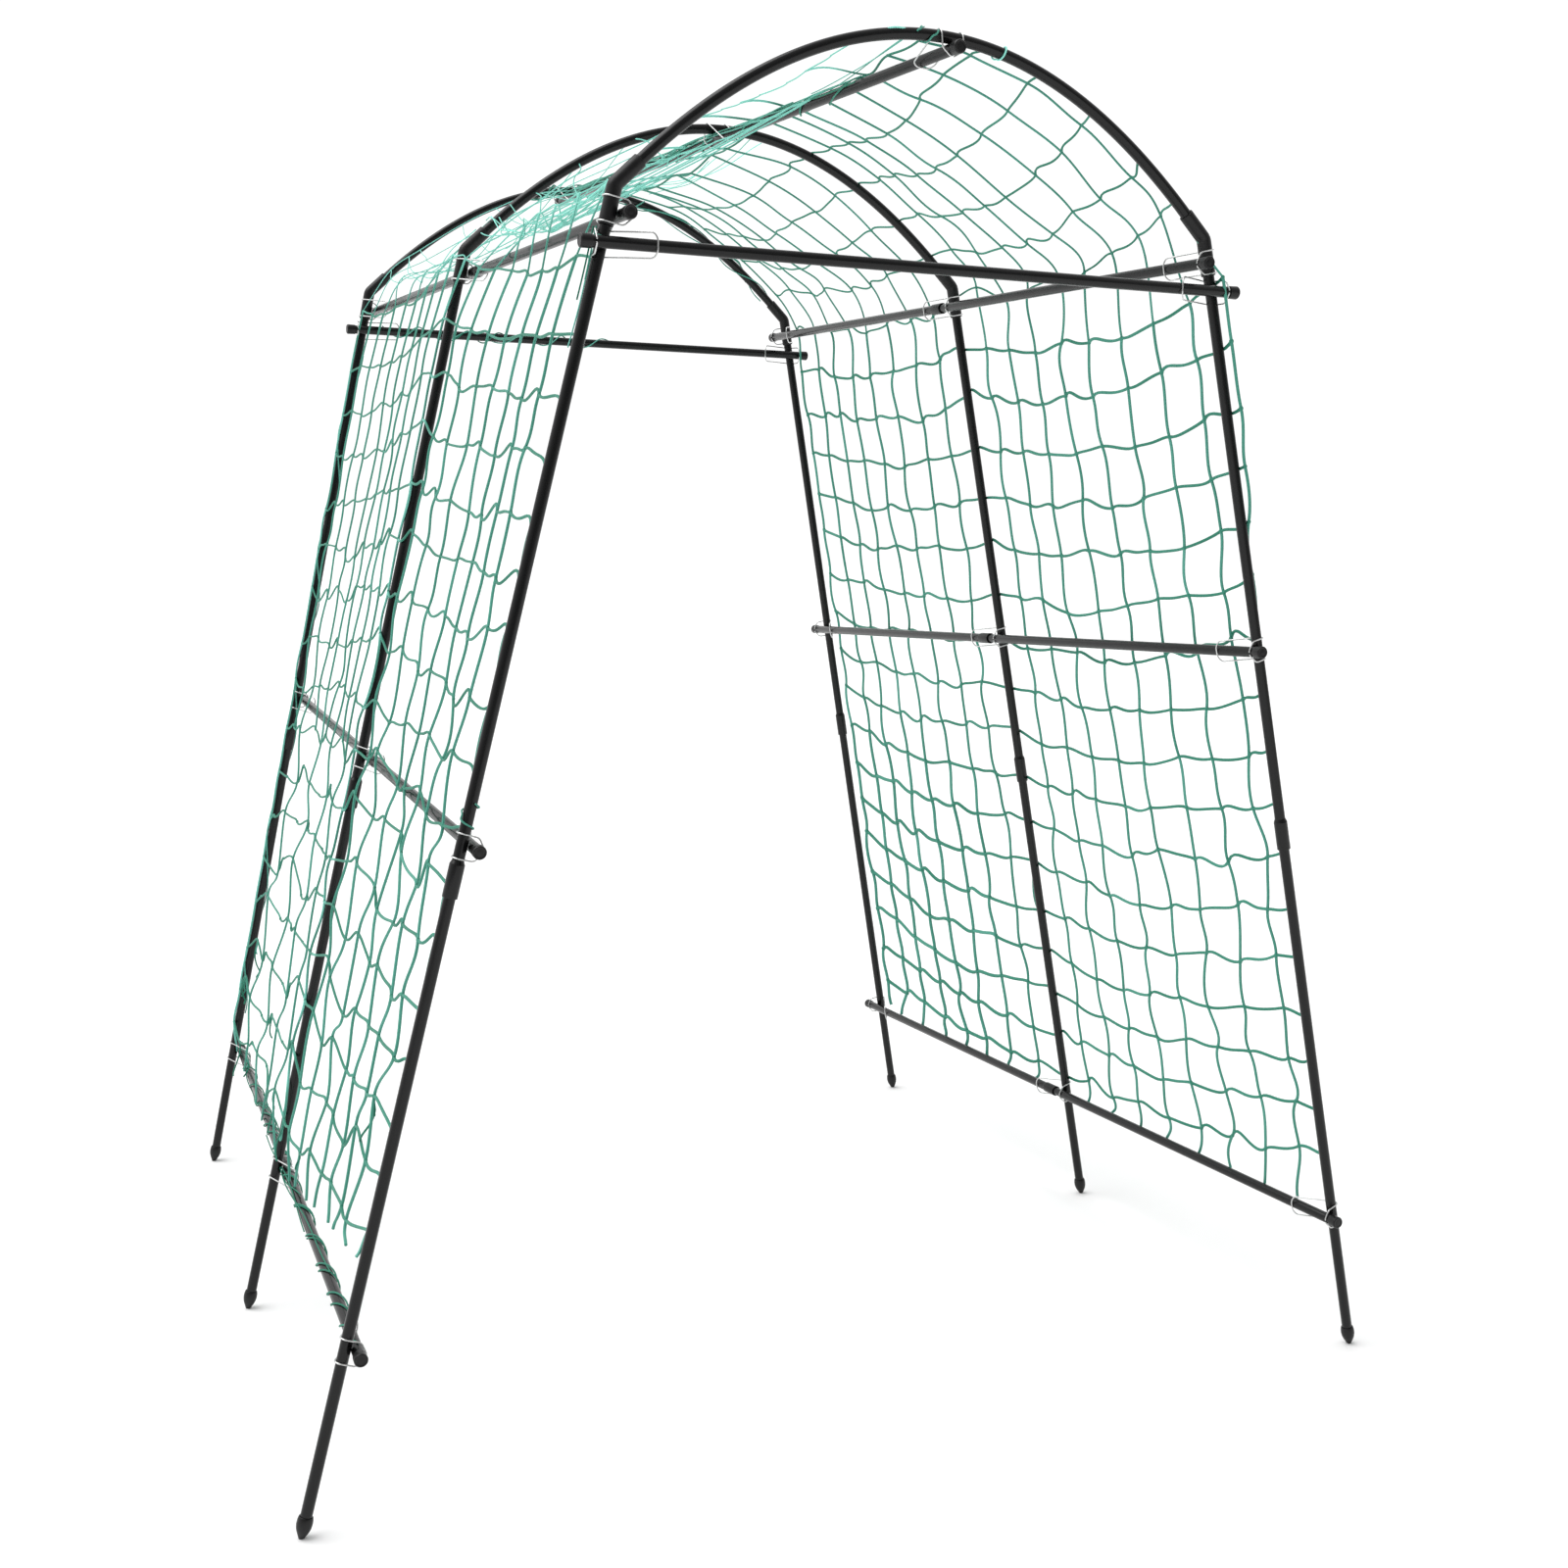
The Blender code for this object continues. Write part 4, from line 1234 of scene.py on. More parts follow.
@dataclass(frozen=True)
class TieSet:
    """All rails and crossbars, with the clips that hold them to the hoops."""

    sizes: TrellisSizes
    mid_heights: tuple = ((0.895, 0.927), (1.135, 1.065))
    low_heights: tuple = ((0.247, 0.224), (0.228, 0.200))
    ridge_play: float = 0.0006

    def leg_seats(self, side: Side, front: float, rear: float, post: float) -> tuple[Array, Array]:
        """Where a side rail rests on its three legs, and the unit vectors from rail to leg.

        Args:
            side: The rail's side.
            front: Height at the front leg.
            rear: Height at the rear leg.
            post: Radius of what it is tied to.

        Returns:
            Three points, and three vectors.
        """
        s = self.sizes
        y = np.array([s.hoop_y(station) for station in Station])
        z = np.linspace(front, rear, 3)
        out = s.wall_outward(side.value, y)
        return s.leg_point(side.value, y, z) - out * (s.tube_radius + post + s.touch_gap), out

    def ridge_seats(self) -> tuple[Array, Array]:
        """Where the ridge rail rests under the three arches, and the unit vectors to them."""
        s = self.sizes
        y = np.array([s.hoop_y(station) for station in Station])
        x = np.linspace(s.ridge_shift_front, s.ridge_shift_rear, 3)
        out = s.arch_outward(x)
        drop = 2 * s.tube_radius + s.touch_gap + self.ridge_play
        return stacked(x, y, s.arch_height(x)) - out * drop, out

    def axis(self, seats: Array, outs: Array) -> tuple[Array, Array]:
        """Middle and direction of the straight rail that clears its three seats."""
        chord = (seats[0] + seats[2]) / 2
        reach = max(0.0, float((chord - seats[1]) @ outs[1]))
        return chord - outs[1] * reach, unit(seats[2] - seats[0])

    def rails(self) -> dict[str, tuple[int, float, Array, Array]]:
        """Each rail's side (0 for the ridge), the radius it is tied to, its seats and their vectors.

        Returns:
            Those four for each rail, by its name.
        """
        s = self.sizes
        eave = s.bend_height - s.eave_rail_drop
        found: dict[str, tuple[int, float, Array, Array]] = {}
        for k, side in enumerate(Side):
            label = side.name.lower()
            levels = {
                "eave": (eave, eave, s.sleeve_radius),
                "mid": (*self.mid_heights[k], s.tube_radius),
                "low": (*self.low_heights[k], s.tube_radius),
            }
            for level, (front, rear, post) in levels.items():
                seats, outs = self.leg_seats(side, front, rear, post)
                found[f"{label}_{level}_rail"] = (side.value, post, seats, outs)
        seats, outs = self.ridge_seats()
        found["ridge_rail"] = (0, s.tube_radius, seats, outs)
        return found

    def build_rails(self, shop: Workshop) -> None:
        """Makes the seven rails and their clips.

        Args:
            shop: What makes the pieces.
        """
        s = self.sizes
        for name, (side, post, seats, outs) in self.rails().items():
            middle, along = self.axis(seats, outs)
            length = float(np.linalg.norm(seats[2] - seats[0])) + 2 * s.tie_overhang
            bell = 1 if side > 0 else -1
            Tie(s, name, middle, along * bell, length, has_joint=True).build(shop)
            for station, seat, out in zip(Station, seats, outs):
                inward = (1, bell, -1)[station.value]
                post_point = seat + out * (s.tube_radius + post + s.touch_gap)
                upward = s.leg_up(side, s.hoop_y(station)) if side else np.array([out[2], 0.0, -out[0]])
                bar_point = middle + along * ((seat - middle) @ along)
                clip = f"{name}_{station.name.lower()}_clip"
                WireClip(s, clip, bar_point, along * inward, post_point, upward, post).build(shop)

    def crossbar_middle(self, station: Station) -> Array:
        """Middle of a crossbar, which lies in front of its legs just below the elbows.

        Args:
            station: The crossbar's hoop.

        Returns:
            The point.
        """
        s = self.sizes
        y = s.hoop_y(station)
        splay = math.atan2(float(s.reach(y)), s.bend_height)
        z = s.bend_height - s.elbow_leg_arm * math.cos(splay)
        z -= s.tube_radius + s.clip_standoff + s.crossbar_clearance
        return np.array([0.0, y - 2 * s.tube_radius - s.touch_gap, z])

    def build_crossbars(self, shop: Workshop) -> None:
        """Makes the two crossbars and their clips.

        Args:
            shop: What makes the pieces.
        """
        s = self.sizes
        for station in (Station.FRONT, Station.REAR):
            y, middle = s.hoop_y(station), self.crossbar_middle(station)
            z = middle[2]
            half = float(s.leg_point(1, y, z)[0]) + s.tie_overhang
            name = f"{station.name.lower()}_crossbar"
            Tie(s, name, middle, ALONG_X, 2 * half, has_joint=False).build(shop)
            for side in Side:
                post_point = s.leg_point(side.value, y, z)
                bar_point = np.array([post_point[0], middle[1], z])
                clip = f"{name}_{side.name.lower()}_clip"
                inward, upward = ALONG_X * -side.value, s.leg_up(side.value, y)
                WireClip(s, clip, bar_point, inward, post_point, upward, s.tube_radius).build(shop)

    def build(self, shop: Workshop) -> None:
        """Makes every rail, crossbar and clip."""
        self.build_rails(shop)
        self.build_crossbars(shop)


@dataclass(frozen=True)
class RowPlan:
    """Where the net's rows cross the three hoops.

    Rows count from the crown, and are negative on the left. A place is the distance from the crown,
    over the arch and down the leg, and is negative on the left too. The net was laid on by hand, so
    its rows lie higher at the front, and on the left its front edge is drawn together.
    """

    rows: tuple = (-23, -22, -7, -6, -5, -4, -3, -2, -1, 0, 1, 2, 5, 6, 22, 23)
    front: tuple = (
        *(-1.900, -1.882, -0.697, -0.606, -0.478, -0.460, -0.440, -0.030),
        *(-0.077, 0.0, 0.076, 0.168, 0.447, 0.575, 1.945, 2.036),
    )
    middle: tuple = (
        *(-2.032, -1.932, -0.618, -0.520, -0.425, -0.345, -0.250, -0.161),
        *(-0.067, 0.055, 0.170, 0.262, 0.530, 0.617, 2.030, 2.052),
    )
    rear: tuple = (
        *(-2.030, -1.980, -0.664, -0.550, -0.450, -0.370, -0.280, -0.200),
        *(-0.110, 0.050, 0.165, 0.255, 0.530, 0.617, 1.985, 2.050),
    )
    droop_rows: tuple = (-23, -19, -8, -6, -5, -3, -1, 0, 3, 19, 23)
    front_droop: tuple = (0.0, -0.012, -0.015, -0.020, -0.045, -0.070, 0.0, 0.0, 0.040, 0.036, 0.0)
    rear_droop: tuple = (0.0, -0.006, -0.010, -0.030, -0.060, -0.060, -0.020, 0.0, 0.026, 0.026, 0.0)

    def place(self, row: Array, share: Array) -> Array:
        """A row's place where it is a share of the way from the front hoop to the rear one.

        Between two hoops it is a straight line and a parabola: a + (b - a) t + 4 t (1 - t) droop.

        Args:
            row: Rows, counted from the crown.
            share: 0 at the front hoop and 1 at the rear one.

        Returns:
            The places.
        """
        knots = [np.interp(row, self.rows, line) for line in (self.front, self.middle, self.rear)]
        droops = [np.interp(row, self.droop_rows, line) for line in (self.front_droop, self.rear_droop)]
        t = 2 * share
        ahead = knots[0] + (knots[1] - knots[0]) * t + 4 * t * (1 - t) * droops[0]
        t = t - 1
        behind = knots[1] + (knots[2] - knots[1]) * t + 4 * t * (1 - t) * droops[1]
        return np.where(share < 0.5, ahead, behind)


@dataclass(frozen=True)
class NetDrape:
    """The surface that the net lies on, by row and by distance along the walkway.

    Row 0 is the net's lower edge on the left, and the rows count over the roof to its lower edge on
    the right. In the methods, m is the number of rows from the crown, negative on the left.
    """

    sizes: TrellisSizes
    plan: RowPlan = RowPlan()
    wall_rows: int = 17
    roof_rows: int = 6
    twine_radius: float = 0.0018
    wall_sag: float = 0.012
    crown_sag: float = 0.0125
    roof_dip: float = 0.010
    right_slack: float = 0.42
    left_slack: float = 1.05
    left_spread: float = 0.35
    front_reach: float = 0.10
    gather: float = 0.44
    gather_shares: tuple = ((-5, -4, -3, -2, -1), (0.0, 0.42, 0.80, 1.0, 0.0))
    turn_span: float = 0.09
    eave_span: float = 0.06
    eave_lift: float = 0.0032
    eave_out: float = 0.008
    eave_rise: float = 0.006
    eave_drop: float = 0.030
    eave_draw: float = 0.4
    eave_ease: tuple = (0.05, 0.12)
    arc_points: int = 200

    @property
    def crown(self) -> int:
        """The row at the crown."""
        return self.wall_rows + self.roof_rows

    def bay(self, y: Array) -> Array:
        """0 at a hoop, rising to 1 halfway between two: sine squared of half a turn for each bay."""
        share = np.clip(np.asarray(y) / self.sizes.hoop_spacing + 1, 0.0, 2.0)
        return np.sin(math.pi * share) ** 2

    def arch_table(self) -> tuple[Array, Array]:
        """Distances from the crown along the arch, and the x they lead to, as far as the eave."""
        x = np.linspace(0.0, self.sizes.eave_half_width, self.arc_points)
        return running(np.hypot(np.diff(x), np.diff(self.sizes.arch_height(x)))), x

    def slack(self, m: Array, y: Array) -> Array:
        """How far the roof net has sunk from the arch, at 0, to the straight line to the eave, at 1.

        On the right it sinks between the hoops. On the left it also hangs clear of the front arch.
        """
        front = smoothstep(-y / self.front_reach) * smoothstep(-m - 1)
        left = np.where(y < 0, front, self.left_slack * self.bay(y) ** self.left_spread)
        return np.where(m < 0, left, self.right_slack * self.bay(y))

    def gathered_y(self, m: Array, y: Array) -> Array:
        """Y with the left front of the roof drawn back from the front arch towards the middle one."""
        pull = np.interp(m, *self.gather_shares)
        return np.where(y < 0, y * (1 - self.gather * pull), y)

    def taut(self, side: Array, y: Array, u: Array) -> Array:
        """Points of the line from the ridge at u = 0 to the eave at 1, dipped by 4 u (1 - u).

        Args:
            side: -1 on the left and 1 on the right.
            y: Distances along the walkway.
            u: Shares of the line.

        Returns:
            The points.
        """
        s = self.sizes
        sunk = self.bay(y)
        ridge = s.arch_height(0.0) + s.tube_radius + self.twine_radius - self.crown_sag * sunk
        low = np.where(side < 0, self.eave_drop * sunk, 0.0)
        out = side * (s.eave_half_width + self.eave_out) - self.eave_draw * side * low
        top, foot = stacked(0.0, y, ridge), stacked(out, y, s.bend_height + self.eave_rise - low)
        line = top + (foot - top) * u[..., None]
        line[..., 2] -= self.roof_dip * 4 * u * (1 - u)
        return line

    def at(self, row: Array, y: Array, lift: Array = 0.0) -> tuple[Array, Array, Array]:
        """Points of the net's surface.

        On a wall a point is the leg plane's, moved along its outward normal. On the roof it lies
        between the arch and the straight line from the ridge to the eave, by the slack. The normals
        turn smoothly near the eave.

        Args:
            row: Row numbers, which may be fractions.
            y: Distances along the walkway.
            lift: Extra distance outwards.

        Returns:
            Points, outward unit normals, and unit vectors along the columns towards higher rows.
        """
        s = self.sizes
        row, y = np.broadcast_arrays(np.asarray(row, float), np.asarray(y, float))
        m = row - self.crown
        place = self.plan.place(m, np.clip(0.5 + y / (2 * s.hoop_spacing), 0, 1))
        y = self.gathered_y(m, y)
        side, far = np.where(place < 0, -1.0, 1.0), np.abs(place)
        arc, x_line = self.arch_table()
        x = np.interp(far, arc, x_line)
        past = far - arc[-1]
        z = s.bend_height - np.clip(past, 0, None) * s.leg_up(side, y)[..., 2]
        on_wall = past > 0
        base = np.where(on_wall[..., None], s.leg_point(side, y, z), stacked(side * x, y, s.arch_height(x)))
        turn = smoothstep(0.5 + past / self.turn_span)[..., None]
        normal = unit(s.arch_outward(side * x) * (1 - turn) + s.wall_outward(side, y) * turn)
        eave = np.exp(-np.square(past / self.eave_span))
        sag = self.bay(y) * np.where(on_wall, self.wall_sag, self.crown_sag) * (1 - 0.5 * eave)
        stand = s.tube_radius + self.twine_radius + self.eave_lift * eave
        point = base + normal * (stand - sag)[..., None]
        u = np.minimum(far / arc[-1], 1)
        ease = np.where(side < 0, *self.eave_ease)
        sunk = (self.slack(m, y) * smoothstep((1 - u) / ease))[..., None]
        point = point + (self.taut(side, y, u) - point) * sunk + normal * np.asarray(lift)[..., None]
        return point, normal, -unit(np.cross(normal, ALONG_Y))


@dataclass
class Net:
    """The climbing net: a square mesh over the roof and both walls.

    The knots lie near an even grid on the drape. Each row and each column is one smooth line through
    its knots, and a row turns sharply at some of them. A band is where a change starts, and the
    distance over which it grows.
    """

    drape: NetDrape
    random: np.random.Generator
    columns: int = 17
    stations: int = 12
    column_tone: float = 0.16
    row_tone: float = 0.03
    tone_spread: float = 0.05
    # Painted light: how much paler the twine is made on the left of the roof, where light comes through it,
    # and where it lies over a hoop, as lit twine looks against the dark tube.
    roof_tone: float = 0.56
    painted_hoop_highlight_tone: float = 0.4
    # The knots' own tone, and how much paler they are painted on the left of the roof for the light that
    # comes through.
    knot_tones: tuple = (0.1, 0.5)
    loose_rows: tuple = (-23, -19, -14, -9, -7, -3, -2, -1, 0, 4, 8, 18, 22)
    looseness_there: tuple = (3.0, 2.8, 1.7, 1.2, 0.5, 0.8, 0.4, 0.3, 0.5, 1.0, 0.8, 0.9, 1.1)
    loosest_shift: float = 1.9
    wave_steps: tuple = (0.0045, 0.045)
    chance_steps: tuple = (0.0050, 0.065)
    furthest: tuple = (0.040, 0.36)
    zigzag_steps: tuple = (0.017, 0.028)
    zigzag_rise: float = 0.05
    zigzag_band: tuple = (-12, 4)
    left_columns_y: tuple = (-0.745, 0.012, 0.744)
    crown_columns: tuple = (0, 3, 6)
    wide_cells_below: int = -15
    hem_band: tuple = (-0.30, 0.15)
    front_overhang: float = 0.020
    front_limit: float = 0.0325
    rear_insets: tuple = (0.006, 0.0325)
    front_edge: tuple = ((-7, -6, 5, 6, 8, 12), (0.0125, 0.015, 0.012, -0.022, -0.022, 0.011))
    front_lift: tuple = ((-7, -6, 5, 8), (-0.0075, -0.0045, -0.0045, 0.0))
    swings: tuple = (0.022, 0.026)
    swing_loosenesses: tuple = (0.0, 1.4, 2.6)
    row_swing_shares: tuple = (0.0, 1.4, 0.6)
    column_swing_shares: tuple = (0.0, 1.4, 0.8)
    row_droop: float = 0.0022
    hook_odds: float = 0.5
    hook_sizes: tuple = (0.035, 0.12)
    hook_ends: tuple = (1.0, 0.3)
    roof_thinning: tuple = (0.40, 0.55)
    left_coarse: tuple = (0.18, 0.14, 0.0)
    right_coarse: tuple = (0.40, 0.45, 0.55)
    low_coarse: tuple = (0.10, 0.5)
    low_band: tuple = (0.95, 0.25)
    wall_band: tuple = (0.02, 0.10)
    roof_band: tuple = (0.06, 0.06)
    left_band: tuple = (0.01, 0.03)
    knot_size: tuple = (1.45, 0.2)
    places: Array = field(init=False)
    normals: Array = field(init=False)
    ups: Array = field(init=False)

    def __post_init__(self) -> None:
        """Places the knots."""
        self.places, self.normals, self.ups = self.knots()

    @property
    def middle_column(self) -> int:
        """The column at the middle hoop."""
        return self.columns // 2

    def looseness(self, row: Array) -> Array:
        """How loosely the net hangs at each row: more on the left, and most near the lower edge."""
        return np.interp(np.asarray(row) - self.drape.crown, self.loose_rows, self.looseness_there)

    def shifts(self, i: Array, j: Array) -> tuple[Array, Array]:
        """How far each knot lies from its even place, along the walkway and in rows.

        Each is a sum of slow waves over the net and a random part, scaled by the looseness, and the
        zigzag of the columns low on the left.

        Args:
            i: Row number of each knot.
            j: Column number of each knot.

        Returns:
            The two shifts of each knot.
        """
        loose = np.minimum(self.looseness(i), self.loosest_shift)
        wave_y = 0.6 * np.sin(0.55 * i + 1.3 * j) + 0.5 * np.sin(0.9 * i - 0.7 * j + 2.0)
        wave_i = 0.6 * np.sin(0.8 * j + 0.35 * i + 1.0) + 0.4 * np.sin(1.7 * j - 0.5 * i)
        place = np.where(j > self.middle_column, (j + 1) // 2, j)
        start, span = self.zigzag_band
        grown = smoothstep((start - (i - self.drape.crown)) / span)
        zigzag = grown * np.where((i + place) % 2 == 0, 1.0, -1.0)
        pulled = np.interp(j, (self.middle_column, self.middle_column + 3), self.zigzag_steps)
        drift = [
            loose * (wave * steady + chance * self.random.normal(size=i.shape)) + pull * zigzag
            for wave, steady, chance, pull in zip(
                self.wave_steps, (wave_y, wave_i), self.chance_steps, (pulled, self.zigzag_rise)
            )
        ]
        return tuple(np.clip(shift, -most, most) for shift, most in zip(drift, self.furthest))

    def knots(self) -> tuple[Array, Array, Array]:
        """Places, normals and column directions of every knot.

        Low on the left the columns zigzag, next to each other in opposite ways, so that the cells are
        six-sided. The end columns keep to the end hoops: on the left the front one is hidden behind
        its leg. The lowest knots lie against the outer side of the low rails.

        Returns:
            Three arrays of shape (rows, columns, 3).
        """
        drape, s = self.drape, self.drape.sizes
        rows, spacing = 2 * drape.crown, s.hoop_spacing
        i = np.arange(rows + 1)[:, None] * np.ones((1, self.columns + 1))
        j = np.arange(self.columns + 1)[None, :] * np.ones((rows + 1, 1))
        m = i - drape.crown
        shift_y, shift_i = self.shifts(i, j)
        left = m < -drape.roof_rows
        left_inset, inset = self.rear_insets
        even = np.interp(j, (0, self.columns), (-spacing - self.front_overhang, spacing - inset))
        uneven = np.interp(j, (0, self.middle_column, self.columns), self.left_columns_y)
        y = np.where(left, uneven, even) + shift_y
        y[:, 0] = -spacing + np.interp(m[:, 0], *self.front_edge)
        y[:, -1] = np.where(left[:, -1], spacing - left_inset, spacing - inset)
        row = i + shift_i
        row[0], row[-1] = 0.0, rows
        lift = np.zeros_like(row)
        lift[:, 0] = np.interp(m[:, 0], *self.front_lift)
        rest = -(2 * s.tube_radius + s.touch_gap) + drape.wall_sag * drape.bay(y)
        start, span = self.hem_band
        lift[0] = rest[0] * smoothstep((y[0] - start) / span)
        lift[-1, 1:-1] = rest[-1, 1:-1]
        return drape.at(row, y, lift)

    def cells(self, lines: Array, leaving: Array, arriving: Array, droop: Array, power: int) -> Array:
        """Smooth curves from knot to knot of some lines.

        Between knots P and Q, with slopes p and q there, a curve is
        (2t^3-3t^2+1) P + (t^3-2t^2+t) p + (3t^2-2t^3) Q + (t^3-t^2) q, less a half wave of droop in z.
        A slope is half the step between the knots on either side. Its changes a and b at the two
        knots add t (1-t)^k a - t^k (1-t) b.

        Args:
            lines: Knots of each line, of shape (lines, knots, 3).
            leaving: Change of each cell's first slope, of shape (lines, knots - 1, 3).
            arriving: Change of its last slope, of the same shape.
            droop: Depth of each cell's half wave, of shape (lines, knots - 1).
            power: The k of the formula: the higher, the closer to its knot a change stays.

        Returns:
            Paths of shape (lines, knots - 1, stations, 3).
        """
        slopes = np.gradient(lines, axis=1)
        t = np.linspace(0, 1, self.stations)[:, None]
        start, stop = lines[:, :-1, None], lines[:, 1:, None]
        path = (2 * t**3 - 3 * t**2 + 1) * start + (t**3 - 2 * t**2 + t) * slopes[:, :-1, None]
        path = path + (3 * t**2 - 2 * t**3) * stop + (t**3 - t**2) * slopes[:, 1:, None]
        path = path + t * (1 - t) ** power * leaving[:, :, None] - t**power * (1 - t) * arriving[:, :, None]
        path[..., 2] -= droop[..., None] * np.sin(math.pi * t[:, 0])
        path[..., 1] = np.maximum(path[..., 1], -self.drape.sizes.hoop_spacing - self.front_limit)
        return path

    def across(self, rows: range) -> Array:
        """The rows' strands, of which about half turn sharply beside a knot.

        They rise behind the knot on the left, and in front of it on the right.

        Args:
            rows: The rows to make.

        Returns:
            Paths of shape (rows, cells, stations, 3).
        """
        own = slice(rows.start, rows.stop)
        kept, ups = self.places[own], self.ups[own]
        ups = ups * np.where(ups[..., 2:] < 0, -1.0, 1.0)
        loose = self.looseness(np.array(rows))[:, None]
        share = np.interp(loose, self.swing_loosenesses, self.row_swing_shares)
        swing = self.random.normal(size=kept.shape[:2]) * share * self.swings[0]
        shape = (len(kept), self.columns)
        hooked = self.random.random(shape) < self.hook_odds
        hook = np.where(hooked, self.random.uniform(*self.hook_sizes, shape), 0.0) * share
        right = (np.array(rows) > self.drape.crown)[:, None]
        droop = np.abs(self.random.normal(size=shape)) * share * self.row_droop
        sharp, mild = self.hook_ends
        leaving = (swing[:, :-1] + hook * np.where(right, -mild, sharp))[..., None] * ups[:, :-1]
        arriving = (swing[:, 1:] + hook * np.where(right, -sharp, mild))[..., None] * ups[:, 1:]
        return self.cells(kept, leaving, arriving, droop, power=4)

    def upright(self, first: int, last: int) -> tuple[Array, Array]:
        """The columns' strands between two rows, and which of them the net still has.

        At the left front of the crown most columns are drawn into the bunch on the ridge. Low on
        the left, behind the middle hoop, every other column is missing and the cells are wider.

        Args:
            first: Lowest row.
            last: Highest row.

        Returns:
            Paths of shape (columns, cells, stations, 3), and whether each is kept.
        """
        tall = self.places[first:last + 1].swapaxes(0, 1)
        loose = self.looseness(np.arange(first, last + 1))
        share = np.interp(loose, self.swing_loosenesses, self.column_swing_shares)
        swing = self.random.normal(size=tall.shape[:2]) * share * self.swings[1]
        swing = swing[..., None] * ALONG_Y
        straight = np.zeros((len(tall), last - first))
        paths = self.cells(tall, swing[:, :-1], swing[:, 1:], straight, power=2)
        m = np.arange(first, last) - self.drape.crown
        j = np.arange(self.columns + 1)[:, None]
        drawn = (j < self.middle_column) & ((m == -2) | ((m == -1) & ~np.isin(j, self.crown_columns)))
        missing = (j > self.middle_column) & (j % 2 == 0) & (m < self.wide_cells_below)
        return paths, ~(drawn | missing)

    def pale(self, paths: Array) -> Array:
        """How far each point lies on the left of the roof, where the light comes through the twine."""
        below, height = self.roof_band
        roof = smoothstep((paths[..., 2] - self.drape.sizes.bend_height + below) / height)
        aside, width = self.left_band
        return roof * smoothstep((-aside - paths[..., 0]) / width)

    def thickness(self, points: Array) -> Array:
        """Radius of the twine: thin on the left of the roof, and coarse on the right wall.

        Args:
            points: Points of the net.

        Returns:
            The radius at each.
        """
        s = self.drape.sizes
        x, y, z = points[..., 0], points[..., 1], points[..., 2]
        start, height = self.low_band
        low = smoothstep((start - z) / height)
        left = np.interp(y, (-s.hoop_spacing, 0, 0.1), self.left_coarse) + self.low_coarse[0] * low
        right = np.interp(y, (-s.hoop_spacing, 0, s.hoop_spacing), self.right_coarse)
        right = right + self.low_coarse[1] * low * smoothstep(y / 0.3)
        below, height = self.wall_band
        coarse = smoothstep((s.bend_height - below - z) / height) * np.where(x > 0, right, left)
        thinner = np.interp(y, (0.0, 0.10), self.roof_thinning)
        return self.drape.twine_radius * (1 - thinner * self.pale(points) + coarse)

    def tones(self, paths: Array, own: Array) -> Array:
        """Shade of each point.

        It is the strand's own, with painted light added: paler on the left of the roof for the light that
        comes through the twine, and a painted highlight where it lies over a hoop on the left or in the
        middle.

        Args:
            paths: Strands, of shape (strands, stations, 3).
            own: Mean shade of each strand.

        Returns:
            Shades from 0 to 1, of shape (strands, stations).
        """
        y, spacing = paths[..., 1], self.drape.sizes.hoop_spacing
        # Painted highlight: twine within about a centimetre of a hoop's plane, left of x = 0.1, is made
        # paler, as lit twine looks against the dark tube.
        hoop = np.exp(-np.square((y - np.round(y / spacing) * spacing) / 0.012)) * (paths[..., 0] < 0.1)
        own = own[:, None] + self.tone_spread * np.abs(self.random.normal(size=(len(paths), 1)))
        # Painted backlight on the left of the roof and painted highlight over the hoops, added to the
        # strand's own tone.
        return np.clip(own + self.roof_tone * self.pale(paths) + self.painted_hoop_highlight_tone * hoop, 0, 1)

    def panel(self, first: int, last: int, rows: range) -> Surface:
        """The mesh between two rows of the net.

        Args:
            first: Lowest row number of the panel.
            last: Highest row number.
            rows: The rows whose strands and knots belong to this panel.

        Returns:
            One surface with the strands and knots.
        """
        own = slice(rows.start, rows.stop)
        columns, kept = self.upright(first, last)
        level = self.across(rows)
        paths = np.concatenate([columns[kept], level.reshape(-1, self.stations, 3)])
        beside_columns = self.normals[first:last].swapaxes(0, 1)[kept]
        facing = np.concatenate([beside_columns, self.normals[own, :-1].reshape(-1, 3)])
        radii = self.thickness(paths[:, self.stations // 2])
        shade = np.where(np.arange(len(paths)) < kept.sum(), self.column_tone, self.row_tone)
        strands = strand_solids(paths, facing[:, None], radii, self.tones(paths, shade))
        centres, normals, ups = (part[own].reshape(-1, 3) for part in (self.places, self.normals, self.ups))
        least, spread = self.knot_size
        sizes = self.thickness(centres) * (least + spread * self.random.random(len(centres)))
        # Knots are painted paler on the left of the roof, for the light that comes through the twine there.
        dull, bright = self.knot_tones
        return joined([strands, knot_lumps(centres, normals, ups, sizes, dull + bright * self.pale(centres))])

    def build(self, shop: Workshop) -> None:
        """Makes the four panels.

        Args:
            shop: What makes the pieces.
        """
        eave, crown = self.drape.wall_rows, self.drape.crown
        far = crown + self.drape.roof_rows
        edges = (0, eave, crown, far, 2 * crown)
        names = ("left_wall", "left_roof", "right_roof", "right_wall")
        for name, first, last in zip(names, edges, edges[1:]):
            rows = range(first + 1, min(last + 1, 2 * crown))
            shop.piece(f"net_{name}_twine", self.panel(first, last, rows), Slot.TWINE, f"net_{name}")


def between(ends: Array, t: Array) -> Array:
    """Values that go evenly from each strand's first end, at t = 0, to its second, at 1."""
    return ends[:, :1] + (ends[:, 1:] - ends[:, :1]) * t


def wandering(rate: Array, travel: Array, phase: Array) -> Array:
    """Values from 0 to 1 that change slowly along a strand: 0.5 and two sine waves, of 0.3 and 0.2."""
    return 0.5 + 0.3 * np.sin(rate[0] * travel + phase[0]) + 0.2 * np.sin(rate[1] * travel + phase[1])


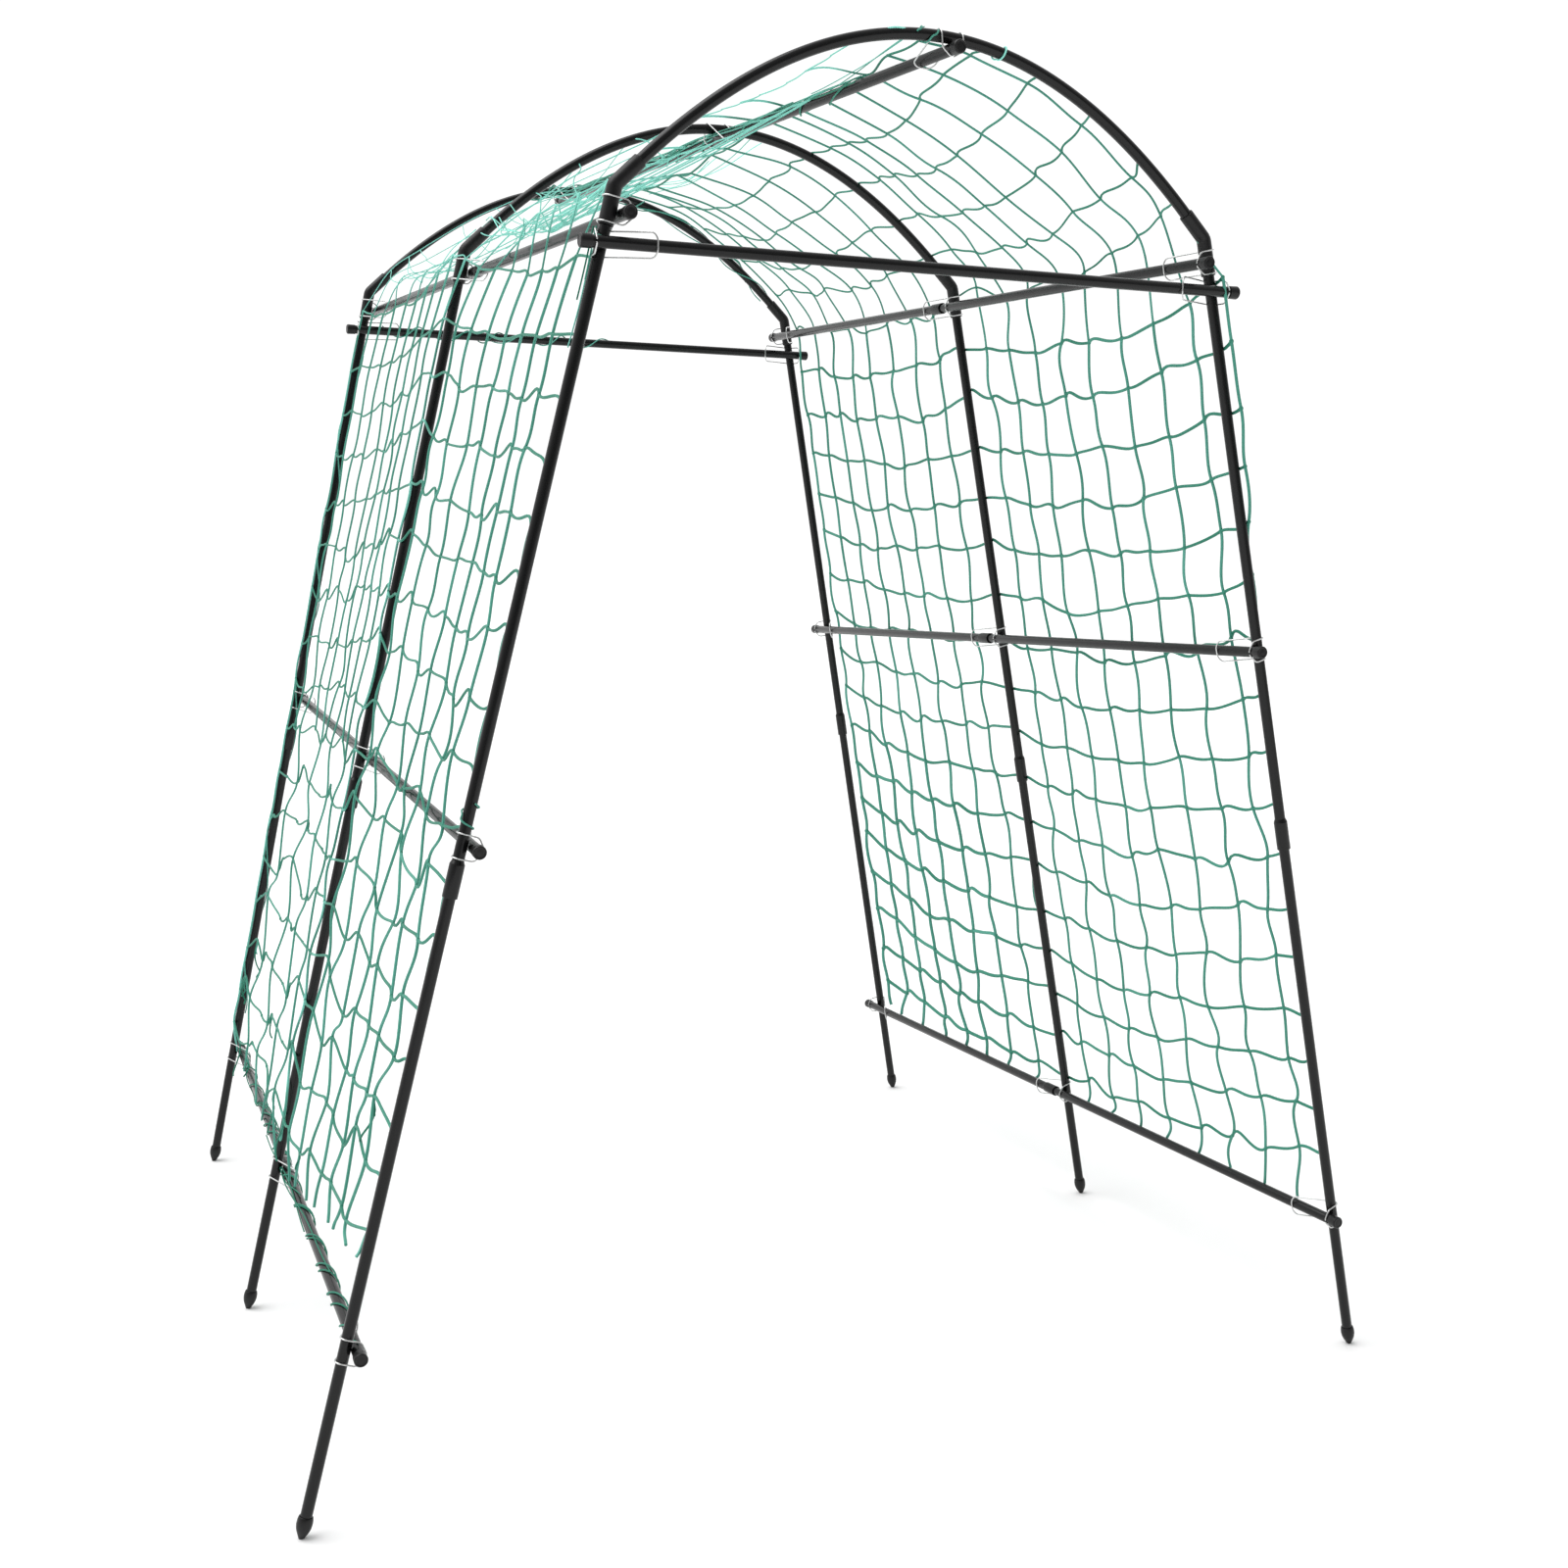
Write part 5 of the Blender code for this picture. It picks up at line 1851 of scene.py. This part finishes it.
@dataclass
class SpareTwine:
    """The net's bunched and wound strands, and its loose ends.

    A wind is a strand's turns round its tube, and its start and end as shares of the tube's line. A
    span is a start and an end alone.
    """

    net: Net
    ties: TieSet
    random: np.random.Generator
    bunched_share: float = 0.6
    wound_share: float = 0.7
    stray_share: float = 0.5
    end_share: float = 0.85
    tone_spread: float = 0.25
    bunched_stations: int = 70
    wound_stations: int = 150
    stray_stations: int = 60
    end_stations: int = 24
    wound_level: tuple = (0.0, 0.31, 0.95)
    rail_points: int = 80
    bar_points: int = 60
    edge: float = 0.745
    ridge_strands: int = 9
    ridge_short_strands: int = 4
    ridge_starts: tuple = (0.155, 0.05)
    ridge_short_starts: tuple = (0.30, 0.35)
    ridge_stops: tuple = (1.0, -0.10)
    ridge_arc: tuple = (math.radians(70), math.radians(200))
    ridge_winds: tuple = ((2.5, 0.15, 0.36), (3.0, 0.40, 0.66), (2.0, 0.6, 0.95))
    crown_rows: tuple = ((0.20, 0.10), (0.12, 0.25))
    crown_ends: tuple = ((-0.742, -0.38), (-0.742, -0.34))
    rear_arch_winds: tuple = (
        *((2.6, 0.37, 0.97), (2.0, 0.42, 0.95), (3.2, 0.40, 0.90)),
        *((2.5, 0.36, 0.62), (4.0, 0.36, 0.56)),
    )
    front_arch_winds: tuple = ((1.3, 0.468, 0.50), (1.0, 0.592, 0.61))
    low_rail_winds: tuple = ((11.0, 0.0, 1.0), (8.0, 0.03, 0.70))
    low_rail_arc: tuple = (0.0, math.radians(230))
    low_rail_starts: tuple = (0.0, 0.5)
    low_rail_stops: tuple = (0.55, 0.44)
    rear_leg_heights: tuple = (0.30, 1.60)
    rear_leg_winds: tuple = ((5.0, 0.0, 1.0),)
    crossbar_winds: tuple = ((5.0, 0.04, 0.56), (3.0, 0.06, 0.33))
    front_leg_heights: tuple = (1.500, 1.665)
    front_leg_winds: tuple = ((1.5, 0.86, 0.98),)
    front_leg_spans: tuple = ((0.10, 1.0), (0.45, 1.0), (0.60, 1.0))
    front_leg_arc: tuple = (math.radians(55), math.radians(150))
    knee_heights: tuple = (0.915, 0.950)
    knee_winds: tuple = ((1.2, 0.0, 1.0),)
    slack_drawn: int = 6
    slack_made: tuple = (5, 2, 4)
    slack_front_rows: tuple = ((4.2, 1.6), (3.8, 1.8))
    slack_rear_rows: tuple = (-4.4, -1.5)
    slack_ridge_rows: tuple = (0.12, 0.40)
    slack_starts: tuple = ((0.02, -0.10), (0.02, 0.1), (0.05, 0.2))
    slack_short: float = 0.05
    loose_ends_count: int = 14
    loose_end_rows: tuple = (1, 4)
    loose_end_lengths: tuple = (0.025, 0.07)

    @property
    def drape(self) -> NetDrape:
        """The surface that the net lies on."""
        return self.net.drape

    @property
    def tube(self) -> float:
        """Distance from a tube's axis to a strand that lies on it."""
        return self.drape.sizes.tube_radius + self.drape.twine_radius

    def phases(self, *shape: int) -> Array:
        """Random angles from 0 to a whole turn."""
        return self.random.uniform(0, WHOLE_TURN, shape)

    def drawn(self, least: float, spread: float, *shape: int) -> Array:
        """Random numbers from the least to the least and the spread."""
        return least + spread * self.random.random(shape)

    def strands(self, paths: Array, normals: Array, share: float, tone: float) -> Surface:
        """Strands of a share of the twine's radius, whose shades spread about a mean."""
        tones = np.clip(tone + self.tone_spread * self.random.normal(size=(len(paths), 1)), 0, 1)
        return strand_solids(paths, normals, self.drape.twine_radius * share, tones)

    def round(self, line: SampledLine, share: Array, level: Array, angle: Array, away: Array) -> tuple:
        """Paths round a tube: the line's point + away (cos(a) e1 + sin(a) e2).

        Args:
            line: The tube's axis.
            share: Place of each point, as a share of the line.
            level: Direction that e1 is square to, as it is to the line. e2 is e1 crossed with the line.
            angle: The angle a at each point.
            away: Distance from the axis at each point.

        Returns:
            The points, and their unit directions from the axis.
        """
        points, tangents = (part.reshape(*share.shape, 3) for part in line.at((share * line.length).ravel()))
        first = unit(np.cross(tangents, level))
        offset = np.cos(angle)[..., None] * first + np.sin(angle)[..., None] * np.cross(first, tangents)
        return points + away[..., None] * offset, offset

    def bunched(self, line: SampledLine, spans: Array, far: float, arc: tuple, tone: float) -> Surface:
        """Strands that run along a tube beside each other.

        A strand's distance from the tube and its angle round it are slow waves of its own.

        Args:
            line: The tube's axis.
            spans: Start and end of each strand, as shares of the line.
            far: Most that a strand stands from the tube.
            arc: Lowest and highest angle.
            tone: Mean shade.

        Returns:
            The strands as one surface.
        """
        share = between(spans, np.linspace(0, 1, self.bunched_stations))
        travel = share * line.length
        phase = self.phases(4, len(spans), 1)
        rate = self.random.uniform(4, 17, size=(4, len(spans), 1))
        angle = arc[0] + (arc[1] - arc[0]) * wandering(rate[:2], travel, phase[:2])
        away = self.tube + far * wandering(rate[2:], travel, phase[2:]) ** 2
        paths, offset = self.round(line, share, ALONG_Z, angle, away)
        return self.strands(paths, offset, self.bunched_share, tone)

    def wound(self, line: SampledLine, winds: tuple, slack: float, tone: float) -> Surface:
        """Strands wound round a tube.

        A strand's angle grows evenly but for a slow wave, and it stands off the tube by a slack that
        comes and goes.

        Args:
            line: The tube's axis.
            winds: The strands' winds.
            slack: Most that a strand stands off the tube.
            tone: Mean shade.

        Returns:
            The strands as one surface.
        """
        turns, starts, stops = np.array(winds).T[:, :, None]
        t = np.linspace(0, 1, self.wound_stations)
        wave = self.phases(3, len(winds), 1)
        angle = WHOLE_TURN * turns * t + wave[0] + 0.8 * np.sin(9 * t + wave[1])
        loose = 0.5 + 0.5 * np.sin(WHOLE_TURN * 1.3 * turns * t + wave[2])
        share = starts + (stops - starts) * t
        level = np.array(self.wound_level)
        paths, offset = self.round(line, share, level, angle, self.tube + slack * loose**2)
        return self.strands(paths, offset, self.wound_share, tone)

    def strays(self, rows: Array, ends: Array, ripple: float, lift: float, tone: float) -> Surface:
        """Loose strands that run along the net between its own rows.

        A strand keeps to its row but for two waves, and stands a little off the net.

        Args:
            rows: Row number of each strand at its start and its end.
            ends: Start and end y of each strand.
            ripple: Height of the waves, in rows.
            lift: Most that a strand stands off the net.
            tone: Mean shade.

        Returns:
            The strands as one surface.
        """
        t = np.linspace(0, 1, self.stray_stations)
        y = between(ends, t)
        wave = self.phases(3, len(rows), 1)
        rate = self.random.uniform(10, 26, size=(2, len(rows), 1))
        waves = 0.6 * np.sin(rate[0] * y + wave[0]) + 0.4 * np.sin(rate[1] * y + wave[1])
        row = between(rows, t) + ripple * waves
        raised = lift * (0.5 + 0.5 * np.sin(rate[0] * 0.8 * y + wave[2]))
        paths, normals, _ = self.drape.at(row, y, raised + self.drape.twine_radius)
        return self.strands(paths, normals, self.stray_share, tone)

    def rail(self, name: str) -> SampledLine:
        """A rail's axis from the front hoop to the rear one."""
        _, _, seats, outs = self.ties.rails()[name]
        middle, along = self.ties.axis(seats, outs)
        reach = self.drape.sizes.hoop_spacing
        return SampledLine(middle + np.linspace(-reach, reach, self.rail_points)[:, None] * along)

    def left_leg(self, station: Station, heights: tuple) -> SampledLine:
        """A stretch of a left leg's axis between two heights."""
        s = self.drape.sizes
        z = np.linspace(*heights, self.bar_points)
        return SampledLine(s.leg_point(Side.LEFT.value, s.hoop_y(station), z))

    def crossbar(self) -> SampledLine:
        """The rear crossbar's axis, from leg to leg."""
        s, middle = self.drape.sizes, self.ties.crossbar_middle(Station.REAR)
        half = float(s.leg_point(1, s.hoop_y(Station.REAR), middle[2])[0])
        return SampledLine(middle + np.linspace(-half, half, self.bar_points)[:, None] * ALONG_X)

    def ridge(self) -> Surface:
        """The bunch that lies along the left of the ridge rail, and its ends at the front arch.

        Returns:
            The strands as one surface.
        """
        starts = self.drawn(*self.ridge_starts, self.ridge_strands)
        starts[:self.ridge_short_strands] = self.drawn(*self.ridge_short_starts, self.ridge_short_strands)
        stops = self.drawn(*self.ridge_stops, self.ridge_strands)
        line = self.rail("ridge_rail")
        rows = self.drape.crown - np.array(self.crown_rows)
        return joined([
            self.bunched(line, np.stack([starts, stops], 1), far=0.004, arc=self.ridge_arc, tone=0.22),
            self.wound(line, self.ridge_winds, slack=0.001, tone=0.4),
            self.strays(rows, np.array(self.crown_ends), ripple=0.05, lift=0.0, tone=0.6),
        ])

    def windings(self) -> Surface:
        """Twine wound round the arches, the left low rail, the rear crossbar and the left legs.

        Returns:
            The strands as one surface.
        """
        front = Hoop(self.drape.sizes, Station.FRONT).arch_line()
        rear = Hoop(self.drape.sizes, Station.REAR).arch_line()
        rail = self.rail("left_low_rail")
        front_leg = self.left_leg(Station.FRONT, self.front_leg_heights)
        rear_leg = self.left_leg(Station.REAR, self.rear_leg_heights)
        knee = self.left_leg(Station.FRONT, self.knee_heights)
        leg_spans = np.array(self.front_leg_spans)
        low_spans = np.stack([self.drawn(*self.low_rail_starts, 3), self.drawn(*self.low_rail_stops, 3)], 1)
        return joined([
            self.wound(rear, self.rear_arch_winds, slack=0.0035, tone=0.30),
            self.wound(front, self.front_arch_winds, slack=0.0005, tone=0.35),
            self.wound(rail, self.low_rail_winds, slack=0.001, tone=0.1),
            self.bunched(rail, low_spans, far=0.0035, arc=self.low_rail_arc, tone=0.1),
            self.wound(rear_leg, self.rear_leg_winds, slack=0.001, tone=0.1),
            self.wound(self.crossbar(), self.crossbar_winds, slack=0.002, tone=0.1),
            self.wound(front_leg, self.front_leg_winds, slack=0.001, tone=0.3),
            self.bunched(front_leg, leg_spans, far=0.012, arc=self.front_leg_arc, tone=0.25),
            self.wound(knee, self.knee_winds, slack=0.002, tone=0.4),
        ])

    def slack_rows(self) -> Surface:
        """Strands that run along the net beside its own rows: near the left eave, and by the ridge.

        The same number of each is drawn by chance, and the first few of them are made.

        Returns:
            The strands as one surface.
        """
        crown, drawn = self.drape.crown, self.slack_drawn
        to_front, to_rear = np.full(drawn, -self.edge), np.full(drawn, self.edge - self.slack_short)
        front_starts, rear_starts, ridge_starts = self.slack_starts
        front = crown - np.stack([self.drawn(*pair, drawn) for pair in self.slack_front_rows], 1)
        front_ends = np.stack([self.drawn(*front_starts, drawn), to_front], 1)
        least, spread = self.slack_rear_rows
        rear = self.drawn(crown + least, spread, drawn, 2)
        rear_ends = np.stack([self.drawn(*rear_starts, drawn), to_rear], 1)
        least, spread = self.slack_ridge_rows
        ridge = self.drawn(crown + least, spread, drawn, 2)
        ridge_ends = np.stack([self.drawn(*ridge_starts, drawn), to_rear], 1)
        fronts, rears, ridges = self.slack_made
        return joined([
            # The strays near the left eave get high tones, painted paler like the light that comes through
            # the twine on the left of the roof.
            self.strays(front[:fronts], front_ends[:fronts], ripple=0.10, lift=0.004, tone=0.8),
            self.strays(rear[:rears], rear_ends[:rears], ripple=0.10, lift=0.004, tone=0.8),
            self.strays(ridge[:ridges], ridge_ends[:ridges], ripple=0.06, lift=0.005, tone=0.6),
        ])

    def loose_ends(self) -> Surface:
        """Short ends that hang from knots low on the left wall.

        An end falls from its knot, and strays sideways by two waves that grow as it falls.

        Returns:
            The strands as one surface.
        """
        count = self.loose_ends_count
        rows = self.random.integers(*self.loose_end_rows, count)
        places = self.net.places[rows, self.random.integers(1, self.net.columns, count)]
        t = np.linspace(0, 1, self.end_stations)
        long = self.random.uniform(*self.loose_end_lengths, (count, 1))
        wave = self.phases(2, count, 1)
        along = long * t * 0.35 * np.sin(3.2 * t + wave[0])
        out = long * t * 0.25 * np.abs(np.sin(2.6 * t + wave[1]))
        paths = places[:, None] + stacked(-out, along, -long * t)
        return self.strands(paths, np.array([0.9, 0.3, 0.1]), self.end_share, 0.05)

    def build(self, shop: Workshop) -> None:
        """Makes the bunch on the ridge, the windings, the slack rows and the loose ends."""
        shop.piece("net_ridge_bunch", self.ridge(), Slot.TWINE)
        shop.piece("net_windings", self.windings(), Slot.TWINE)
        shop.piece("net_slack_rows", self.slack_rows(), Slot.TWINE)
        shop.piece("net_loose_ends", self.loose_ends(), Slot.TWINE)


@dataclass(frozen=True)
class PhotoCamera:
    """The camera, at the photograph's place and angle."""

    place: tuple = (-1.2246, -3.1094, 1.3313)
    yaw: float = 0.4131
    pitch: float = -0.1438
    roll: float = 0.0251
    lens: float = 44.28
    sensor: float = 36.0
    farthest: float = 200.0

    def build(self) -> None:
        """Adds the camera: yaw turns it right from +Y, pitch up, and roll round its own line of sight."""
        data = bpy.data.cameras.new("camera")
        data.lens = self.lens
        data.sensor_width = self.sensor
        data.sensor_fit = "HORIZONTAL"
        data.clip_end = self.farthest
        ahead = np.array([
            math.sin(self.yaw) * math.cos(self.pitch),
            math.cos(self.yaw) * math.cos(self.pitch),
            math.sin(self.pitch),
        ])
        level = np.array([math.cos(self.yaw), -math.sin(self.yaw), 0.0])
        above = np.cross(level, ahead)
        right = math.cos(self.roll) * level + math.sin(self.roll) * above
        up = math.cos(self.roll) * above - math.sin(self.roll) * level
        turn = Matrix((right, up, -ahead)).transposed().to_4x4()
        made = placed("camera", data)
        made.matrix_world = Matrix.Translation(self.place) @ turn
        bpy.context.scene.camera = made


@dataclass(frozen=True)
class Studio:
    """Pale floor, white surround and one broad soft light."""

    floor_radius: float = 40.0
    floor_sides: int = 96
    dim: float = 0.20
    bright: float = 1.08
    brightest_from: float = 0.45
    sun_strength: float = 1.95
    sun_spread: float = math.radians(55)
    sun_tilt: tuple = (math.radians(-8), math.radians(-26), 0.0)

    def floor(self) -> None:
        """A level disc under the feet."""
        angle = circle(self.floor_sides)
        ring = stacked(np.cos(angle), np.sin(angle), 0.0) * self.floor_radius
        mesh = bpy.data.meshes.new("floor")
        mesh.from_pydata(ring.tolist(), [], [list(range(self.floor_sides))])
        mesh.materials.append(PaleFloor().build())
        placed("floor", mesh)

    def surround(self) -> None:
        """A white sky whose strength grows with y, from behind the camera to the far side."""
        world = bpy.data.worlds.new("surround")
        world.use_nodes = True
        tree = world.node_tree
        sky = tree.nodes["Background"]
        sky.inputs["Color"].default_value = (1.0, 1.0, 1.0, 1.0)
        facing = tree.nodes.new("ShaderNodeTexCoord")
        parts = tree.nodes.new("ShaderNodeSeparateXYZ")
        spread = tree.nodes.new("ShaderNodeMapRange")
        ends = {"From Min": -1.0, "From Max": self.brightest_from, "To Min": self.dim, "To Max": self.bright}
        for name, value in ends.items():
            spread.inputs[name].default_value = value
        tree.links.new(facing.outputs["Generated"], parts.inputs["Vector"])
        tree.links.new(parts.outputs["Y"], spread.inputs["Value"])
        tree.links.new(spread.outputs["Result"], sky.inputs["Strength"])
        bpy.context.scene.world = world

    def lights(self) -> None:
        """One broad soft light from above the walkway."""
        data = bpy.data.lights.new("overhead", "SUN")
        data.energy = self.sun_strength
        data.angle = self.sun_spread
        placed("overhead", data).rotation_euler = self.sun_tilt

    def build(self) -> None:
        """Sets the studio up."""
        self.floor()
        self.surround()
        self.lights()
        bpy.context.scene.view_settings.view_transform = "Standard"


def main() -> None:
    """Builds the studio and dresses every part of the trellis in order."""
    logging.basicConfig(level=logging.INFO, format="%(name)s: %(message)s")
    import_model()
    PhotoCamera().build()
    Studio().build()
    sizes = TrellisSizes()
    shop = Workshop()
    shop.mix_finishes()
    for station in Station:
        Hoop(sizes, station).build(shop)
    ties = TieSet(sizes)
    ties.build(shop)
    chance = np.random.default_rng(SEED)
    net = Net(NetDrape(sizes), chance)
    net.build(shop)
    SpareTwine(net, ties, chance).build(shop)


if __name__ == "__main__":
    main()
